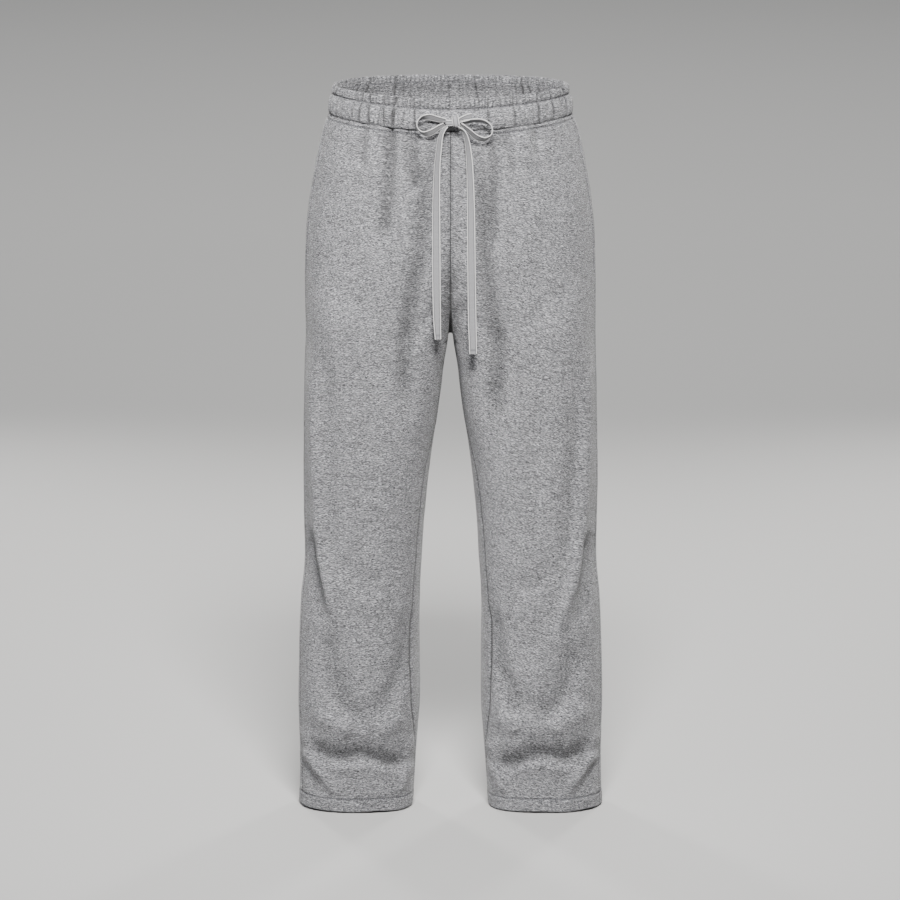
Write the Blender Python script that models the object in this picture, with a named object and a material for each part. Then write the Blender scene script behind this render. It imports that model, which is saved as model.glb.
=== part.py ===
# Wide-leg sweatpants of brushed fleece, filled out as they are worn, with a gathered waistband and a flat
# drawcord tied in a bow. Metres, +Z up, the front faces -Y and the wearer's left is +X. The origin is the
# middle of the waist opening, level with the elastic.
import math
import random

import bmesh
import bpy
from mathutils import Vector

# ---- driving dimensions ----
CLOTH = 0.0018  # one layer of fleece
HEM_DEPTH = 0.019  # the hem is turned up once, so it is two layers there
HEM_EDGE = -1.020  # height of the leg's open edge
SEAM_GAP = 0.0003  # between two pieces sewn together
CROTCH = -0.3305  # height of the crotch point
CROTCH_Y = 0.008  # its depth
SPLIT = -0.275  # the legs part from each other below here, front and back
LEG_SHAPING = -0.215  # the hip section starts to turn into two legs here
LIP_SPREAD = 40.0  # degrees of a leg's round between the inseam and the turn to the front or back
TURN_SHARPNESS = 4  # how closely the leg's turn is held to its place near the split
GROOVE = 0.004  # rounding where the two legs run into the rise seam
WAIST_DIP = 0.11  # the dip of the waist line dies away over this height
SHARP = 50.0  # degrees, edges sharper than this are shaded as edges

POCKET_TOP = -0.062
POCKET_BOTTOM = -0.226
POCKET_MOUTH = 0.0017  # the front panel's edge stands this far off the side seam
BAG_GAP = 0.0008  # from the panel's inner face to the pocket bag
BAG_THICK = 0.0016  # its two thin layers, lying flat
BAG_TOP = -0.030
# Down to each height, the share of the front panel's breadth where the bag's forward edge runs.
BAG_EDGE = [(-0.070, 0.5), (-0.210, 0.4), (-0.260, 0.5)]

GATHERS = 66
GATHER_SEED = 11
GATHER_SHIFT = 0.28  # a gather starts up to this share of its breadth early or late
GATHER_STRENGTH = (0.45, 1.25)  # shallowest and deepest
GATHER_PROFILE = ((0.0, -1.0), (0.3, 0.55), (0.7, 0.55))  # share of its breadth, and height
GATHER_PLACES = 1440  # steps in which the way round the band is measured

TAPE_THICK = 0.0014
TAPE_BEVEL = 0.45  # share of the tape's thickness
ROUTE_STEPS = 400  # steps in which a route is measured
# The knot: middle and half size of the upright wrap, and of the fold that shows beside it.
WRAP = ((0.0072, -0.1172, -0.0050), (0.0054, 0.0062, 0.0084))
KNOT_FOLD = ((-0.0012, -0.1160, -0.0072), (0.0060, 0.0046, 0.0046))

# Lines around the waist: height at the side, at the centre front and at the centre back.
WAIST_LINES = {
    "rim": (0.0285, 0.0235, 0.0255),
    "header": (0.0162, 0.0087, 0.0157),
    "seam": (-0.0120, -0.0208, -0.0125),
}
# Rings of the waistband, once round its section: the two lines a ring lies between and its share of the way,
# how far it stands out from the oval of the header stitching, and how deep its gathers are.
BAND_OVAL = (0.1653, 0.0985)
BAND_RINGS = [
    ("seam", "header", 0.00, 0.0067, 0.0003),
    ("seam", "header", 0.26, 0.0081, 0.0019),
    ("seam", "header", 0.72, 0.0066, 0.0019),
    ("seam", "header", 1.00, 0.0000, 0.0007),
    ("header", "rim", 0.50, 0.0014, 0.0022),
    ("header", "rim", 1.00, 0.0006, 0.0021),
    ("header", "rim", 1.00, -0.0020, 0.0013),
    ("seam", "header", 1.00, -0.0028, 0.0002),
    ("seam", "header", 0.50, 0.0024, -0.0005),
    ("seam", "header", 0.00, 0.0034, -0.0001),
]

# Hip sections: height, half breadth, depth forward and backward of the centre line, and squareness (2 is an
# ellipse).
HIPS = [
    (-0.0120, 0.1720, 0.1052, 0.1052, 2.00),
    (-0.0300, 0.1797, 0.1075, 0.1085, 2.06),
    (-0.0530, 0.1858, 0.1105, 0.1140, 2.12),
    (-0.0980, 0.1950, 0.1155, 0.1255, 2.22),
    (-0.1645, 0.2039, 0.1200, 0.1385, 2.33),
    (-0.2108, 0.2063, 0.1208, 0.1420, 2.38),
    (-0.2750, 0.2072, 0.1185, 0.1390, 2.45),
    (-0.3305, 0.2067, 0.1150, 0.1330, 2.50),
]
# Leg sections: height, outermost x, innermost x, depth forward, depth backward, squareness of the inner side
# (2 is an ellipse), and the angle of the inseam (90 is straight inward, less swings it to the front).
LEGS = [
    (-0.2350, 0.2068, 0.0035, 0.1145, 0.1340, 5.0, 90.0),
    (-0.2850, 0.2070, 0.0035, 0.1120, 0.1300, 5.0, 90.0),
    (-0.3305, 0.2067, 0.0035, 0.1085, 0.1250, 5.0, 90.0),
    (-0.3705, 0.2076, 0.0094, 0.1055, 0.1200, 4.2, 86.0),
    (-0.4287, 0.2088, 0.0160, 0.1012, 0.1130, 3.3, 74.0),
    (-0.5164, 0.2103, 0.0292, 0.0945, 0.1035, 2.7, 62.0),
    (-0.6000, 0.2102, 0.0370, 0.0880, 0.0955, 2.4, 56.0),
    (-0.6630, 0.2094, 0.0413, 0.0840, 0.0908, 2.4, 54.0),
    (-0.7145, 0.2139, 0.0439, 0.0805, 0.0880, 2.4, 52.0),
    (-0.7957, 0.2175, 0.0441, 0.0765, 0.0840, 2.4, 49.0),
    (-0.8696, 0.2185, 0.0442, 0.0725, 0.0800, 2.5, 55.0),
    (-0.9289, 0.2171, 0.0483, 0.0700, 0.0765, 2.6, 68.0),
    (-0.9883, 0.2172, 0.0522, 0.0655, 0.0715, 2.7, 78.0),
    (-1.0200, 0.2180, 0.0548, 0.0620, 0.0680, 2.8, 80.0),
]
OUTER_SQUARENESS = 2.3
# Side seam: height and angle round from the front (90 is straight outward).
SIDE_SEAM = [
    (-0.012, 80.0),
    (-0.150, 79.0),
    (-0.330, 77.0),
    (-0.600, 74.0),
    (-0.900, 72.0),
    (-1.020, 69.0),
]

# Folds and creases: face, ridge height (a trough is negative), half breadth on the left and on the right of
# its run as seen from the front, and the route as x and height.
FOLDS = [
    # soft folds that run down from the gathers, front then back
    ("front", -0.0026, 0.007, 0.007, ((-0.1247, -0.010), (-0.1261, -0.061), (-0.1275, -0.090))),
    ("front", 0.0018, 0.010, 0.010, ((-0.1050, -0.010), (-0.1070, -0.105))),
    ("front", -0.0036, 0.009, 0.008, ((-0.0851, -0.010), (-0.0866, -0.077), (-0.0908, -0.129),
                                      (-0.0975, -0.190))),
    ("front", -0.0030, 0.012, 0.010, ((-0.0612, -0.010), (-0.0556, -0.048), (-0.0480, -0.095))),
    ("front", -0.0020, 0.007, 0.007, ((-0.0232, -0.010), (-0.0246, -0.105))),
    ("front", -0.0020, 0.007, 0.007, ((0.0274, -0.010), (0.0302, -0.100))),
    ("front", -0.0026, 0.008, 0.008, ((0.0654, -0.010), (0.0654, -0.093), (0.0612, -0.146),
                                      (0.0669, -0.195))),
    ("front", -0.0022, 0.008, 0.008, ((0.0837, -0.010), (0.0950, -0.056), (0.1075, -0.095))),
    ("front", 0.0016, 0.010, 0.010, ((0.1050, -0.010), (0.1100, -0.080))),
    ("front", -0.0022, 0.007, 0.007, ((0.1219, -0.010), (0.1247, -0.066))),
    ("back", -0.0026, 0.009, 0.009, ((-0.1180, -0.010), (-0.1210, -0.100))),
    ("back", -0.0022, 0.008, 0.008, ((-0.0780, -0.010), (-0.0800, -0.080))),
    ("back", -0.0030, 0.010, 0.010, ((-0.0340, -0.010), (-0.0380, -0.130))),
    ("back", -0.0024, 0.008, 0.008, ((0.0300, -0.010), (0.0320, -0.085))),
    ("back", -0.0030, 0.010, 0.010, ((0.0720, -0.010), (0.0760, -0.120))),
    ("back", -0.0024, 0.009, 0.009, ((0.1160, -0.010), (0.1200, -0.070))),
    # hollows either side of the fly line, down over the inner thigh
    ("front", -0.0042, 0.010, 0.013, ((-0.0340, -0.035), (-0.0373, -0.146), (-0.0416, -0.198),
                                      (-0.0500, -0.239), (-0.0572, -0.290), (-0.0629, -0.349),
                                      (-0.0617, -0.440), (-0.0620, -0.510))),
    ("front", -0.0044, 0.013, 0.010, ((0.0400, -0.030), (0.0443, -0.092), (0.0486, -0.146),
                                      (0.0514, -0.199), (0.0585, -0.254), (0.0628, -0.290),
                                      (0.0700, -0.345), (0.0658, -0.408), (0.0660, -0.480))),
    # long ridges down the outer thigh and across the knee, with a trough inside and a hollow outside
    ("front", 0.0070, 0.010, 0.010, ((-0.2015, -0.319), (-0.1962, -0.424), (-0.1893, -0.532),
                                     (-0.1853, -0.627), (-0.1790, -0.660), (-0.1704, -0.698),
                                     (-0.1648, -0.727), (-0.1570, -0.780))),
    ("front", 0.0070, 0.010, 0.010, ((0.1980, -0.315), (0.1927, -0.477), (0.1859, -0.585),
                                     (0.1803, -0.640), (0.1747, -0.676), (0.1661, -0.705),
                                     (0.1591, -0.740), (0.1520, -0.790))),
    ("front", -0.0030, 0.012, 0.010, ((-0.1776, -0.300), (-0.1751, -0.411), (-0.1741, -0.528),
                                      (-0.1690, -0.617), (-0.1600, -0.690))),
    ("front", -0.0026, 0.010, 0.012, ((0.1815, -0.400), (0.1771, -0.566), (0.1670, -0.665))),
    ("front", -0.0046, 0.010, 0.012, ((-0.1960, -0.600), (-0.1950, -0.650), (-0.1905, -0.700),
                                      (-0.1850, -0.745))),
    ("front", -0.0044, 0.012, 0.010, ((0.1955, -0.605), (0.1945, -0.655), (0.1900, -0.700),
                                      (0.1840, -0.750))),
    # troughs that meet in a V over the shin
    ("front", -0.0048, 0.013, 0.013, ((-0.1800, -0.745), (-0.1637, -0.815), (-0.1509, -0.852),
                                      (-0.1338, -0.877), (-0.1080, -0.892))),
    ("front", -0.0044, 0.013, 0.013, ((0.1790, -0.765), (0.1651, -0.823), (0.1538, -0.849),
                                      (0.1381, -0.874), (0.1180, -0.888))),
    ("front", -0.0036, 0.011, 0.011, ((-0.0621, -0.715), (-0.0678, -0.792), (-0.0779, -0.825),
                                      (-0.0908, -0.852), (-0.1060, -0.885))),
    ("front", -0.0044, 0.011, 0.011, ((0.0592, -0.710), (0.0679, -0.800), (0.0793, -0.829),
                                      (0.0937, -0.856), (0.1138, -0.885))),
    # above each hem: the puffs, the wavy break, the roll under it, and the curls and hollows at its ends
    ("front", 0.0052, 0.014, 0.016, ((-0.2015, -0.872), (-0.1797, -0.880), (-0.1582, -0.890),
                                     (-0.1380, -0.902))),
    ("front", 0.0052, 0.014, 0.016, ((0.1380, -0.900), (0.1596, -0.887), (0.1812, -0.876),
                                     (0.2029, -0.870))),
    ("front", 0.0046, 0.012, 0.014, ((-0.1040, -0.902), (-0.0860, -0.890), (-0.0680, -0.878))),
    ("front", 0.0046, 0.012, 0.014, ((0.0640, -0.878), (0.0766, -0.884), (0.1000, -0.900))),
    ("front", -0.0100, 0.012, 0.006, ((-0.2040, -0.926), (-0.1842, -0.931), (-0.1655, -0.936),
                                      (-0.1497, -0.931), (-0.1339, -0.926), (-0.1196, -0.929),
                                      (-0.1010, -0.939), (-0.0796, -0.948), (-0.0600, -0.944))),
    ("front", -0.0100, 0.012, 0.006, ((0.0570, -0.943), (0.0782, -0.949), (0.0968, -0.942),
                                      (0.1168, -0.929), (0.1354, -0.925), (0.1497, -0.931),
                                      (0.1655, -0.938), (0.1814, -0.932), (0.2030, -0.926))),
    ("front", 0.0030, 0.007, 0.012, ((-0.1950, -0.948), (-0.1580, -0.953), (-0.1150, -0.952),
                                     (-0.0720, -0.965))),
    ("front", 0.0030, 0.007, 0.012, ((0.0680, -0.965), (0.1140, -0.952), (0.1570, -0.953),
                                     (0.1950, -0.948))),
    ("front", 0.0044, 0.008, 0.008, ((-0.2120, -0.900), (-0.2032, -0.944), (-0.1902, -0.960),
                                     (-0.1758, -0.974), (-0.1600, -1.000))),
    ("front", 0.0044, 0.008, 0.008, ((0.2120, -0.900), (0.2018, -0.943), (0.1887, -0.960),
                                     (0.1772, -0.975), (0.1640, -1.000))),
    ("front", -0.0040, 0.009, 0.009, ((-0.2085, -0.945), (-0.1990, -0.973), (-0.1850, -1.003))),
    ("front", -0.0040, 0.009, 0.009, ((0.2085, -0.945), (0.1990, -0.973), (0.1850, -1.003))),
    ("front", 0.0034, 0.008, 0.008, ((-0.0552, -0.910), (-0.0595, -0.955), (-0.0682, -0.977),
                                     (-0.0800, -1.000))),
    ("front", 0.0034, 0.008, 0.008, ((0.0552, -0.910), (0.0610, -0.955), (0.0696, -0.977),
                                     (0.0800, -1.000))),
    # behind: under the seat, down the thigh, behind the knee, over the calf and above the hem
    ("back", -0.0042, 0.016, 0.010, ((-0.1850, -0.318), (-0.1300, -0.345), (-0.0800, -0.347),
                                     (-0.0350, -0.330))),
    ("back", -0.0042, 0.016, 0.010, ((0.0370, -0.328), (0.0850, -0.346), (0.1340, -0.343),
                                     (0.1880, -0.314))),
    ("back", 0.0044, 0.016, 0.016, ((-0.1750, -0.380), (-0.1300, -0.440), (-0.1080, -0.540))),
    ("back", 0.0044, 0.016, 0.016, ((0.1720, -0.370), (0.1300, -0.445), (0.1100, -0.555))),
    ("back", -0.0050, 0.014, 0.009, ((-0.1950, -0.622), (-0.1500, -0.640), (-0.1050, -0.650),
                                     (-0.0620, -0.628))),
    ("back", -0.0050, 0.014, 0.009, ((0.0640, -0.640), (0.1100, -0.655), (0.1550, -0.641),
                                     (0.1930, -0.616))),
    ("back", 0.0050, 0.013, 0.013, ((-0.1900, -0.690), (-0.1720, -0.760), (-0.1450, -0.840),
                                    (-0.1150, -0.885))),
    ("back", 0.0050, 0.013, 0.013, ((0.1880, -0.700), (0.1700, -0.770), (0.1430, -0.838),
                                    (0.1160, -0.882))),
    ("back", -0.0038, 0.012, 0.012, ((-0.0640, -0.730), (-0.0760, -0.810), (-0.1000, -0.870))),
    ("back", -0.0038, 0.012, 0.012, ((0.0630, -0.745), (0.0770, -0.820), (0.0990, -0.872))),
    ("back", -0.0085, 0.013, 0.007, ((-0.2030, -0.908), (-0.1700, -0.925), (-0.1350, -0.931),
                                     (-0.1000, -0.921), (-0.0620, -0.926))),
    ("back", -0.0085, 0.013, 0.007, ((0.0600, -0.934), (0.0980, -0.922), (0.1350, -0.932),
                                     (0.1680, -0.930), (0.2040, -0.910))),
    ("back", 0.0034, 0.008, 0.014, ((-0.1900, -0.935), (-0.1350, -0.950), (-0.0750, -0.944))),
    ("back", 0.0034, 0.008, 0.014, ((0.0750, -0.950), (0.1350, -0.952), (0.1900, -0.936))),
]
FOLD_FADE = 0.20  # share of a fold's length over which each end dies away
FOLD_WRAP = (0.15, 1.2)  # a fold's share where the cloth faces sideways, and its gain towards its own face

# Heights of the rings that shape the panels. The first is the seam under the waistband.
UPPER_RINGS = (-0.024, -0.038, -0.057, -0.075, -0.100, -0.130, -0.165, -0.200, -0.228, -0.252, SPLIT)
CROTCH_RINGS = 6
LEG_RINGS = (-0.336, -0.350, -0.375, -0.410, -0.455, -0.500, -0.550, -0.600, -0.650, -0.700, -0.745, -0.785,
             -0.825, -0.862, -0.888, -0.908, -0.924, -0.934, -0.944, -0.956, -0.975,
             HEM_EDGE + HEM_DEPTH + 0.003,
             HEM_EDGE + HEM_DEPTH, HEM_EDGE)
GATHERED_RINGS = 4  # rings from the top that have twice the columns
# Columns of a panel: across its main breadth, and across the strip between the turn and the inseam.
COLUMNS = {"front": (10, 4), "back": (13, 4)}

# Drawcord: routes of the tape's middle line as x, y, height, breadth of the tape there, and how far its near
# edge is tipped up (0 lies level, 90 stands flat against the garment).
ROUTES = {
    "drawcord_loop_right": [
        (-0.0070, -0.1148, -0.0036, 0.007, 62.0),
        (-0.0160, -0.1146, -0.0028, 0.010, 60.0),
        (-0.0285, -0.1150, 0.0006, 0.012, 56.0),
        (-0.0400, -0.1150, -0.0006, 0.012, 36.0),
        (-0.0466, -0.1146, -0.0074, 0.012, 14.0),
        (-0.0458, -0.1146, -0.0156, 0.012, 14.0),
        (-0.0385, -0.1156, -0.0224, 0.012, 34.0),
        (-0.0285, -0.1168, -0.0214, 0.012, 54.0),
        (-0.0165, -0.1184, -0.0136, 0.009, 58.0),
        (-0.0092, -0.1192, -0.0092, 0.007, 60.0),
    ],
    "drawcord_loop_left": [
        (0.0134, -0.1150, -0.0084, 0.007, 44.0),
        (0.0220, -0.1150, -0.0066, 0.009, 40.0),
        (0.0310, -0.1152, -0.0046, 0.011, 36.0),
        (0.0440, -0.1154, -0.0046, 0.012, 34.0),
        (0.0542, -0.1150, -0.0094, 0.012, 24.0),
        (0.0586, -0.1148, -0.0168, 0.012, 14.0),
        (0.0568, -0.1152, -0.0252, 0.012, 16.0),
        (0.0480, -0.1162, -0.0306, 0.012, 34.0),
        (0.0376, -0.1174, -0.0282, 0.012, 50.0),
        (0.0280, -0.1186, -0.0200, 0.010, 54.0),
        (0.0190, -0.1194, -0.0122, 0.008, 54.0),
        (0.0146, -0.1196, -0.0090, 0.006, 54.0),
    ],
    "drawcord_tail_right": [
        (-0.0044, -0.1209, -0.0118, 0.006, 30.0),
        (-0.0098, -0.1214, -0.0170, 0.009, 32.0),
        (-0.0138, -0.1212, -0.0270, 0.011, 34.0),
        (-0.0162, -0.1210, -0.0440, 0.012, 38.0),
        (-0.0186, -0.1216, -0.0700, 0.012, 46.0),
        (-0.0200, -0.1234, -0.1150, 0.012, 60.0),
        (-0.0200, -0.1250, -0.1700, 0.012, 74.0),
        (-0.0198, -0.1256, -0.2300, 0.012, 82.0),
        (-0.0190, -0.1252, -0.2850, 0.011, 88.0),
        (-0.0176, -0.1248, -0.3155, 0.009, 90.0),
    ],
    "drawcord_tail_left": [
        (0.0112, -0.1200, -0.0130, 0.006, 34.0),
        (0.0182, -0.1222, -0.0182, 0.009, 36.0),
        (0.0226, -0.1218, -0.0290, 0.011, 38.0),
        (0.0252, -0.1214, -0.0460, 0.012, 42.0),
        (0.0272, -0.1218, -0.0700, 0.012, 50.0),
        (0.0286, -0.1234, -0.1150, 0.012, 62.0),
        (0.0292, -0.1252, -0.1700, 0.012, 74.0),
        (0.0298, -0.1258, -0.2300, 0.012, 82.0),
        (0.0306, -0.1254, -0.2850, 0.012, 88.0),
        (0.0320, -0.1248, -0.3365, 0.011, 90.0),
    ],
    "drawcord_stub_right": [
        (-0.0288, -0.1051, -0.0015, 0.010, 90.0),
        (-0.0235, -0.1072, -0.0024, 0.009, 90.0),
        (-0.0160, -0.1084, -0.0034, 0.008, 88.0),
        (-0.0064, -0.1122, -0.0052, 0.006, 84.0),
    ],
    "drawcord_stub_left": [
        (0.0298, -0.1040, 0.0000, 0.009, 90.0),
        (0.0250, -0.1064, -0.0004, 0.009, 90.0),
        (0.0200, -0.1088, -0.0012, 0.008, 88.0),
        (0.0126, -0.1135, -0.0030, 0.006, 84.0),
    ],
}
STATION = 0.0045  # spacing of the tape's sections in the loops
TAIL_STATION = 0.012  # and down the straight tails

# Finishes: colour, roughness.
FLEECE = (0.36, 0.36, 0.385)
BAG_CLOTH = (0.30, 0.30, 0.32)
TAPE = (0.46, 0.455, 0.475)


def clear_scene():
    for obj in list(bpy.data.objects):
        bpy.data.objects.remove(obj, do_unlink=True)


def finish(name, colour, roughness):
    material = bpy.data.materials.new(name)
    material.use_nodes = True
    shader = material.node_tree.nodes["Principled BSDF"]
    shader.inputs["Base Color"].default_value = (*colour, 1.0)
    shader.inputs["Roughness"].default_value = roughness
    shader.inputs["Metallic"].default_value = 0.0
    return material


def smooth(share):
    """Ease from 0 to 1 with level ends."""
    share = min(max(share, 0.0), 1.0)
    return share * share * (3.0 - 2.0 * share)


def read_table(table, column, height):
    """A smooth curve through one column of a table whose rows run downward in height."""
    if height >= table[0][0]:
        return table[0][column]
    if height <= table[-1][0]:
        return table[-1][column]
    row = next(i for i in range(len(table) - 1) if table[i][0] >= height >= table[i + 1][0])
    start, end = table[row], table[row + 1]
    before, after = table[max(row - 1, 0)], table[min(row + 2, len(table) - 1)]
    span = end[0] - start[0]
    slope_start = (end[column] - before[column]) / (end[0] - before[0])
    slope_end = (after[column] - start[column]) / (after[0] - start[0])
    t = (height - start[0]) / span
    return ((2 * t**3 - 3 * t**2 + 1) * start[column] + (t**3 - 2 * t**2 + t) * span * slope_start
            + (3 * t**2 - 2 * t**3) * end[column] + (t**3 - t**2) * span * slope_end)


def line_height(name, angle):
    """Height of a line round the waist at an angle in degrees from the centre front."""
    side, front, back = WAIST_LINES[name]
    turn = math.cos(math.radians(angle))
    return side + (front - side) * max(turn, 0.0)**3 + (back - side) * max(-turn, 0.0)**3


def oval(half_x, front, back, outer_power, inner_power, angle):
    """A point of a rounded section, by its angle from the front (outward is positive)."""
    s, c = math.sin(math.radians(angle)), math.cos(math.radians(angle))
    power = outer_power + (inner_power - outer_power) * (1.0 - s) / 2.0
    reach = (abs(s)**power + abs(c)**power)**(-1.0 / power)
    return half_x * reach * s, -(front if c > 0 else back) * reach * c


def leg_point(height, angle):
    outer = read_table(LEGS, 1, height)
    inner = read_table(LEGS, 2, height)
    front = read_table(LEGS, 3, height) + CROTCH_Y
    back = read_table(LEGS, 4, height) - CROTCH_Y
    x, y = oval((outer - inner) / 2, front, back, OUTER_SQUARENESS, read_table(LEGS, 5, height), angle)
    return (outer + inner) / 2 + x, CROTCH_Y + y


def base_point(face, height, column):
    """The smooth form of the right half (x >= 0), without folds.

    column runs from 1 at the side seam to 0 at the turn, or at the centre seam above the split, and on to -1
    at the rise seam or the inseam.
    """
    side_angle = read_table(SIDE_SEAM, 1, height)
    inseam = read_table(LEGS, 6, height)
    if face == "front":
        hip_start, lip, end = 0.0, -inseam + LIP_SPREAD, -inseam
    else:
        hip_start, lip, end = 180.0, 360.0 - inseam - LIP_SPREAD, 360.0 - inseam
        if height > CROTCH:
            lip, end = 270.0 - LIP_SPREAD, 270.0
    sunk = max((height - CROTCH) / (SPLIT - CROTCH), 0.0)  # 0 at the crotch, 1 at the split
    part = max(column, 0.0)
    leg_x, leg_y = leg_point(height, lip + (side_angle - lip) * part)
    if height > CROTCH:
        half_x, front, back, power = (read_table(HIPS, k, height) for k in (1, 2, 3, 4))
        hip_x, hip_y = oval(half_x, front, back, power, power, hip_start + (side_angle - hip_start) * part)
        turn_x, turn_y = leg_point(height, lip)
        leg_share = smooth((LEG_SHAPING - height) / (LEG_SHAPING - CROTCH))
        wanted = turn_x * math.sqrt(max(1.0 - sunk, 0.0))
        x = hip_x + (leg_x - hip_x) * leg_share - (turn_x * leg_share - wanted) * (1.0 - part)**TURN_SHARPNESS
        y = hip_y + (leg_y - hip_y) * leg_share
    else:
        x, y = leg_x, leg_y
    if column < 0 and sunk < 1.0:
        strip = -column
        turn_x, turn_y = leg_point(height, lip)
        strip_x, strip_y = leg_point(height, lip + (end - lip) * strip)
        depth = 1.0 - math.sqrt(max(1.0 - (1.0 - sunk)**2, 0.0))
        run = (strip_y - turn_y) * depth
        x = x * strip_x / turn_x if height > CROTCH else strip_x
        y = y + run
        if height > CROTCH - 2 * GROOVE:
            to_seam = abs((leg_point(height, end)[1] - turn_y) * depth - run)
            rounding = math.sqrt(1.0 - (1.0 - min(to_seam / GROOVE, 1.0))**2)
            held = 1.0 if height >= CROTCH else math.exp((height - CROTCH) / (GROOVE / 2))
            x *= 1.0 - held * (1.0 - rounding)
    angle = hip_start + (side_angle - hip_start) * part
    drop = smooth(1.0 - (WAIST_LINES["seam"][0] - height) / WAIST_DIP)
    z = height + (line_height("seam", angle) - WAIST_LINES["seam"][0]) * drop
    return Vector((x, y, z))


def base_normal(face, height, column):
    step = 0.004
    low, high = max(column - step, -1.0), min(column + step, 1.0)
    along = base_point(face, height, high) - base_point(face, height, low)
    top, bottom = min(height + 0.001, WAIST_LINES["seam"][0]), max(height - 0.001, HEM_EDGE)
    up = base_point(face, top, column) - base_point(face, bottom, column)
    normal = along.cross(up).normalized()
    return normal if face == "front" else -normal


def fold_height(face, x, z):
    """How far the cloth stands out at a place, by all folds of that face."""
    total = 0.0
    for fold_face, height, left, right, route in FOLDS:
        if fold_face != face:
            continue
        if not min(p[1] for p in route) - 3 * left < z < max(p[1] for p in route) + 3 * left:
            continue
        best, at, gone, breadth = math.inf, 0.0, 0.0, left
        for (ax, az), (bx, bz) in zip(route, route[1:]):
            length = math.hypot(bx - ax, bz - az)
            share = ((x - ax) * (bx - ax) + (z - az) * (bz - az)) / length**2
            share = min(max(share, 0.0), 1.0)
            away = math.hypot(x - ax - share * (bx - ax), z - az - share * (bz - az))
            if away < best:
                best, at = away, gone + share * length
                breadth = left if (bx - ax) * (z - az) > (bz - az) * (x - ax) else right
            gone += length
        fade = gone * FOLD_FADE
        from_top = 1.0 if route[0][1] > WAIST_LINES["seam"][0] else smooth(at / fade)
        total += height * math.exp(-(best / breadth)**2) * from_top * smooth((gone - at) / fade)
    return total


def shell_point(side, face, height, column, depth):
    """A point of the garment on one side (+1 or -1), at a depth under the outer face."""
    place = base_point(face, height, column)
    if column >= 1.0 or (column <= -1.0 and height <= CROTCH):
        normal = (base_normal("front", height, column) + base_normal("back", height, column)).normalized()
    else:
        normal = base_normal(face, height, column)
    on_rise = height >= CROTCH and (column <= -1.0 or (height >= SPLIT and column <= 0.0))
    if on_rise:
        normal.x = 0.0
        normal.normalize()
    out = 0.0
    for fold_face, facing in (("front", -normal.y), ("back", normal.y)):
        share = smooth(FOLD_WRAP[0] + FOLD_WRAP[1] * facing)
        if share > 0.0:
            out += share * fold_height(fold_face, side * place.x, place.z)
    place = place + normal * (out - depth)
    if on_rise:
        place.x = SEAM_GAP / 2
    return Vector((side * place.x, place.y, place.z))


def trimmed_row(side, face, height, columns, depth, top_gap):
    """One ring of a panel: its points, drawn back from the seams at both edges."""
    row = [shell_point(side, face, height, c, depth) for c in columns]
    ends = (columns[0], columns[1], columns[-2], columns[-1])
    at_seam, next_to_seam, next_to_side, at_side = (shell_point(side, face, height, c, 0.0) for c in ends)
    to_inner = (next_to_seam - at_seam).normalized()
    to_side = (next_to_side - at_side).normalized()
    if height <= CROTCH:
        row[0] = row[0] + to_inner * (SEAM_GAP / 2)
    edge = SEAM_GAP / 2
    if face == "front" and POCKET_BOTTOM < height < POCKET_TOP:
        edge += POCKET_MOUTH
    row[-1] = row[-1] + to_side * edge
    if top_gap:
        row = [p - Vector((0.0, 0.0, SEAM_GAP / 2)) for p in row]
    return row


def panel_rings(face):
    """Height, columns and wall of each ring of a panel, from the waist down."""
    main, strip = COLUMNS[face]
    rings = []
    heights = (WAIST_LINES["seam"][0],) + UPPER_RINGS
    for index, height in enumerate(heights):
        count = main * 2 if index < GATHERED_RINGS else main
        rings.append((height, [i / count for i in range(count + 1)], CLOTH))
    for index in range(1, CROTCH_RINGS + 1):
        sink = index / CROTCH_RINGS
        height = CROTCH + (SPLIT - CROTCH) * (1.0 - math.sqrt(1.0 - (1.0 - sink)**2))
        inner = max(1, round(strip * sink))
        columns = [-1.0 + i / inner for i in range(inner)] + [i / main for i in range(main + 1)]
        rings.append((height, columns, CLOTH))
    columns = [-1.0 + i / strip for i in range(strip)] + [i / main for i in range(main + 1)]
    for height in LEG_RINGS:
        wall = CLOTH * (2.0 if height <= HEM_EDGE + HEM_DEPTH else 1.0)
        rings.append((height, columns, wall))
    return rings


def stitch_rows(mesh, first, first_at, second, second_at, flip):
    """Fill the strip between two rows of vertices that may have different counts."""
    i, j = 0, 0
    while i < len(first) - 1 or j < len(second) - 1:
        next_first = first_at[i + 1] if i < len(first) - 1 else math.inf
        next_second = second_at[j + 1] if j < len(second) - 1 else math.inf
        if next_first <= next_second:
            corners = [first[i], second[j], first[i + 1]]
            i += 1
        else:
            corners = [first[i], second[j], second[j + 1]]
            j += 1
        mesh.faces.new(reversed(corners) if flip else corners)


def close_wall(mesh, outer, inner, ats):
    """A wall between two sheets of rows, closed round its four edges."""
    for k in range(len(outer) - 1):
        stitch_rows(mesh, outer[k], ats[k], outer[k + 1], ats[k + 1], False)
        stitch_rows(mesh, inner[k], ats[k], inner[k + 1], ats[k + 1], True)
        for end, flip in ((0, True), (-1, False)):
            edge_outer = [outer[k][end], outer[k + 1][end]]
            edge_inner = [inner[k][end], inner[k + 1][end]]
            stitch_rows(mesh, edge_outer, [0, 1], edge_inner, [0, 1], not flip)
    for k, flip in ((0, False), (len(outer) - 1, True)):
        stitch_rows(mesh, inner[k], ats[k], outer[k], ats[k], flip)


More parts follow.
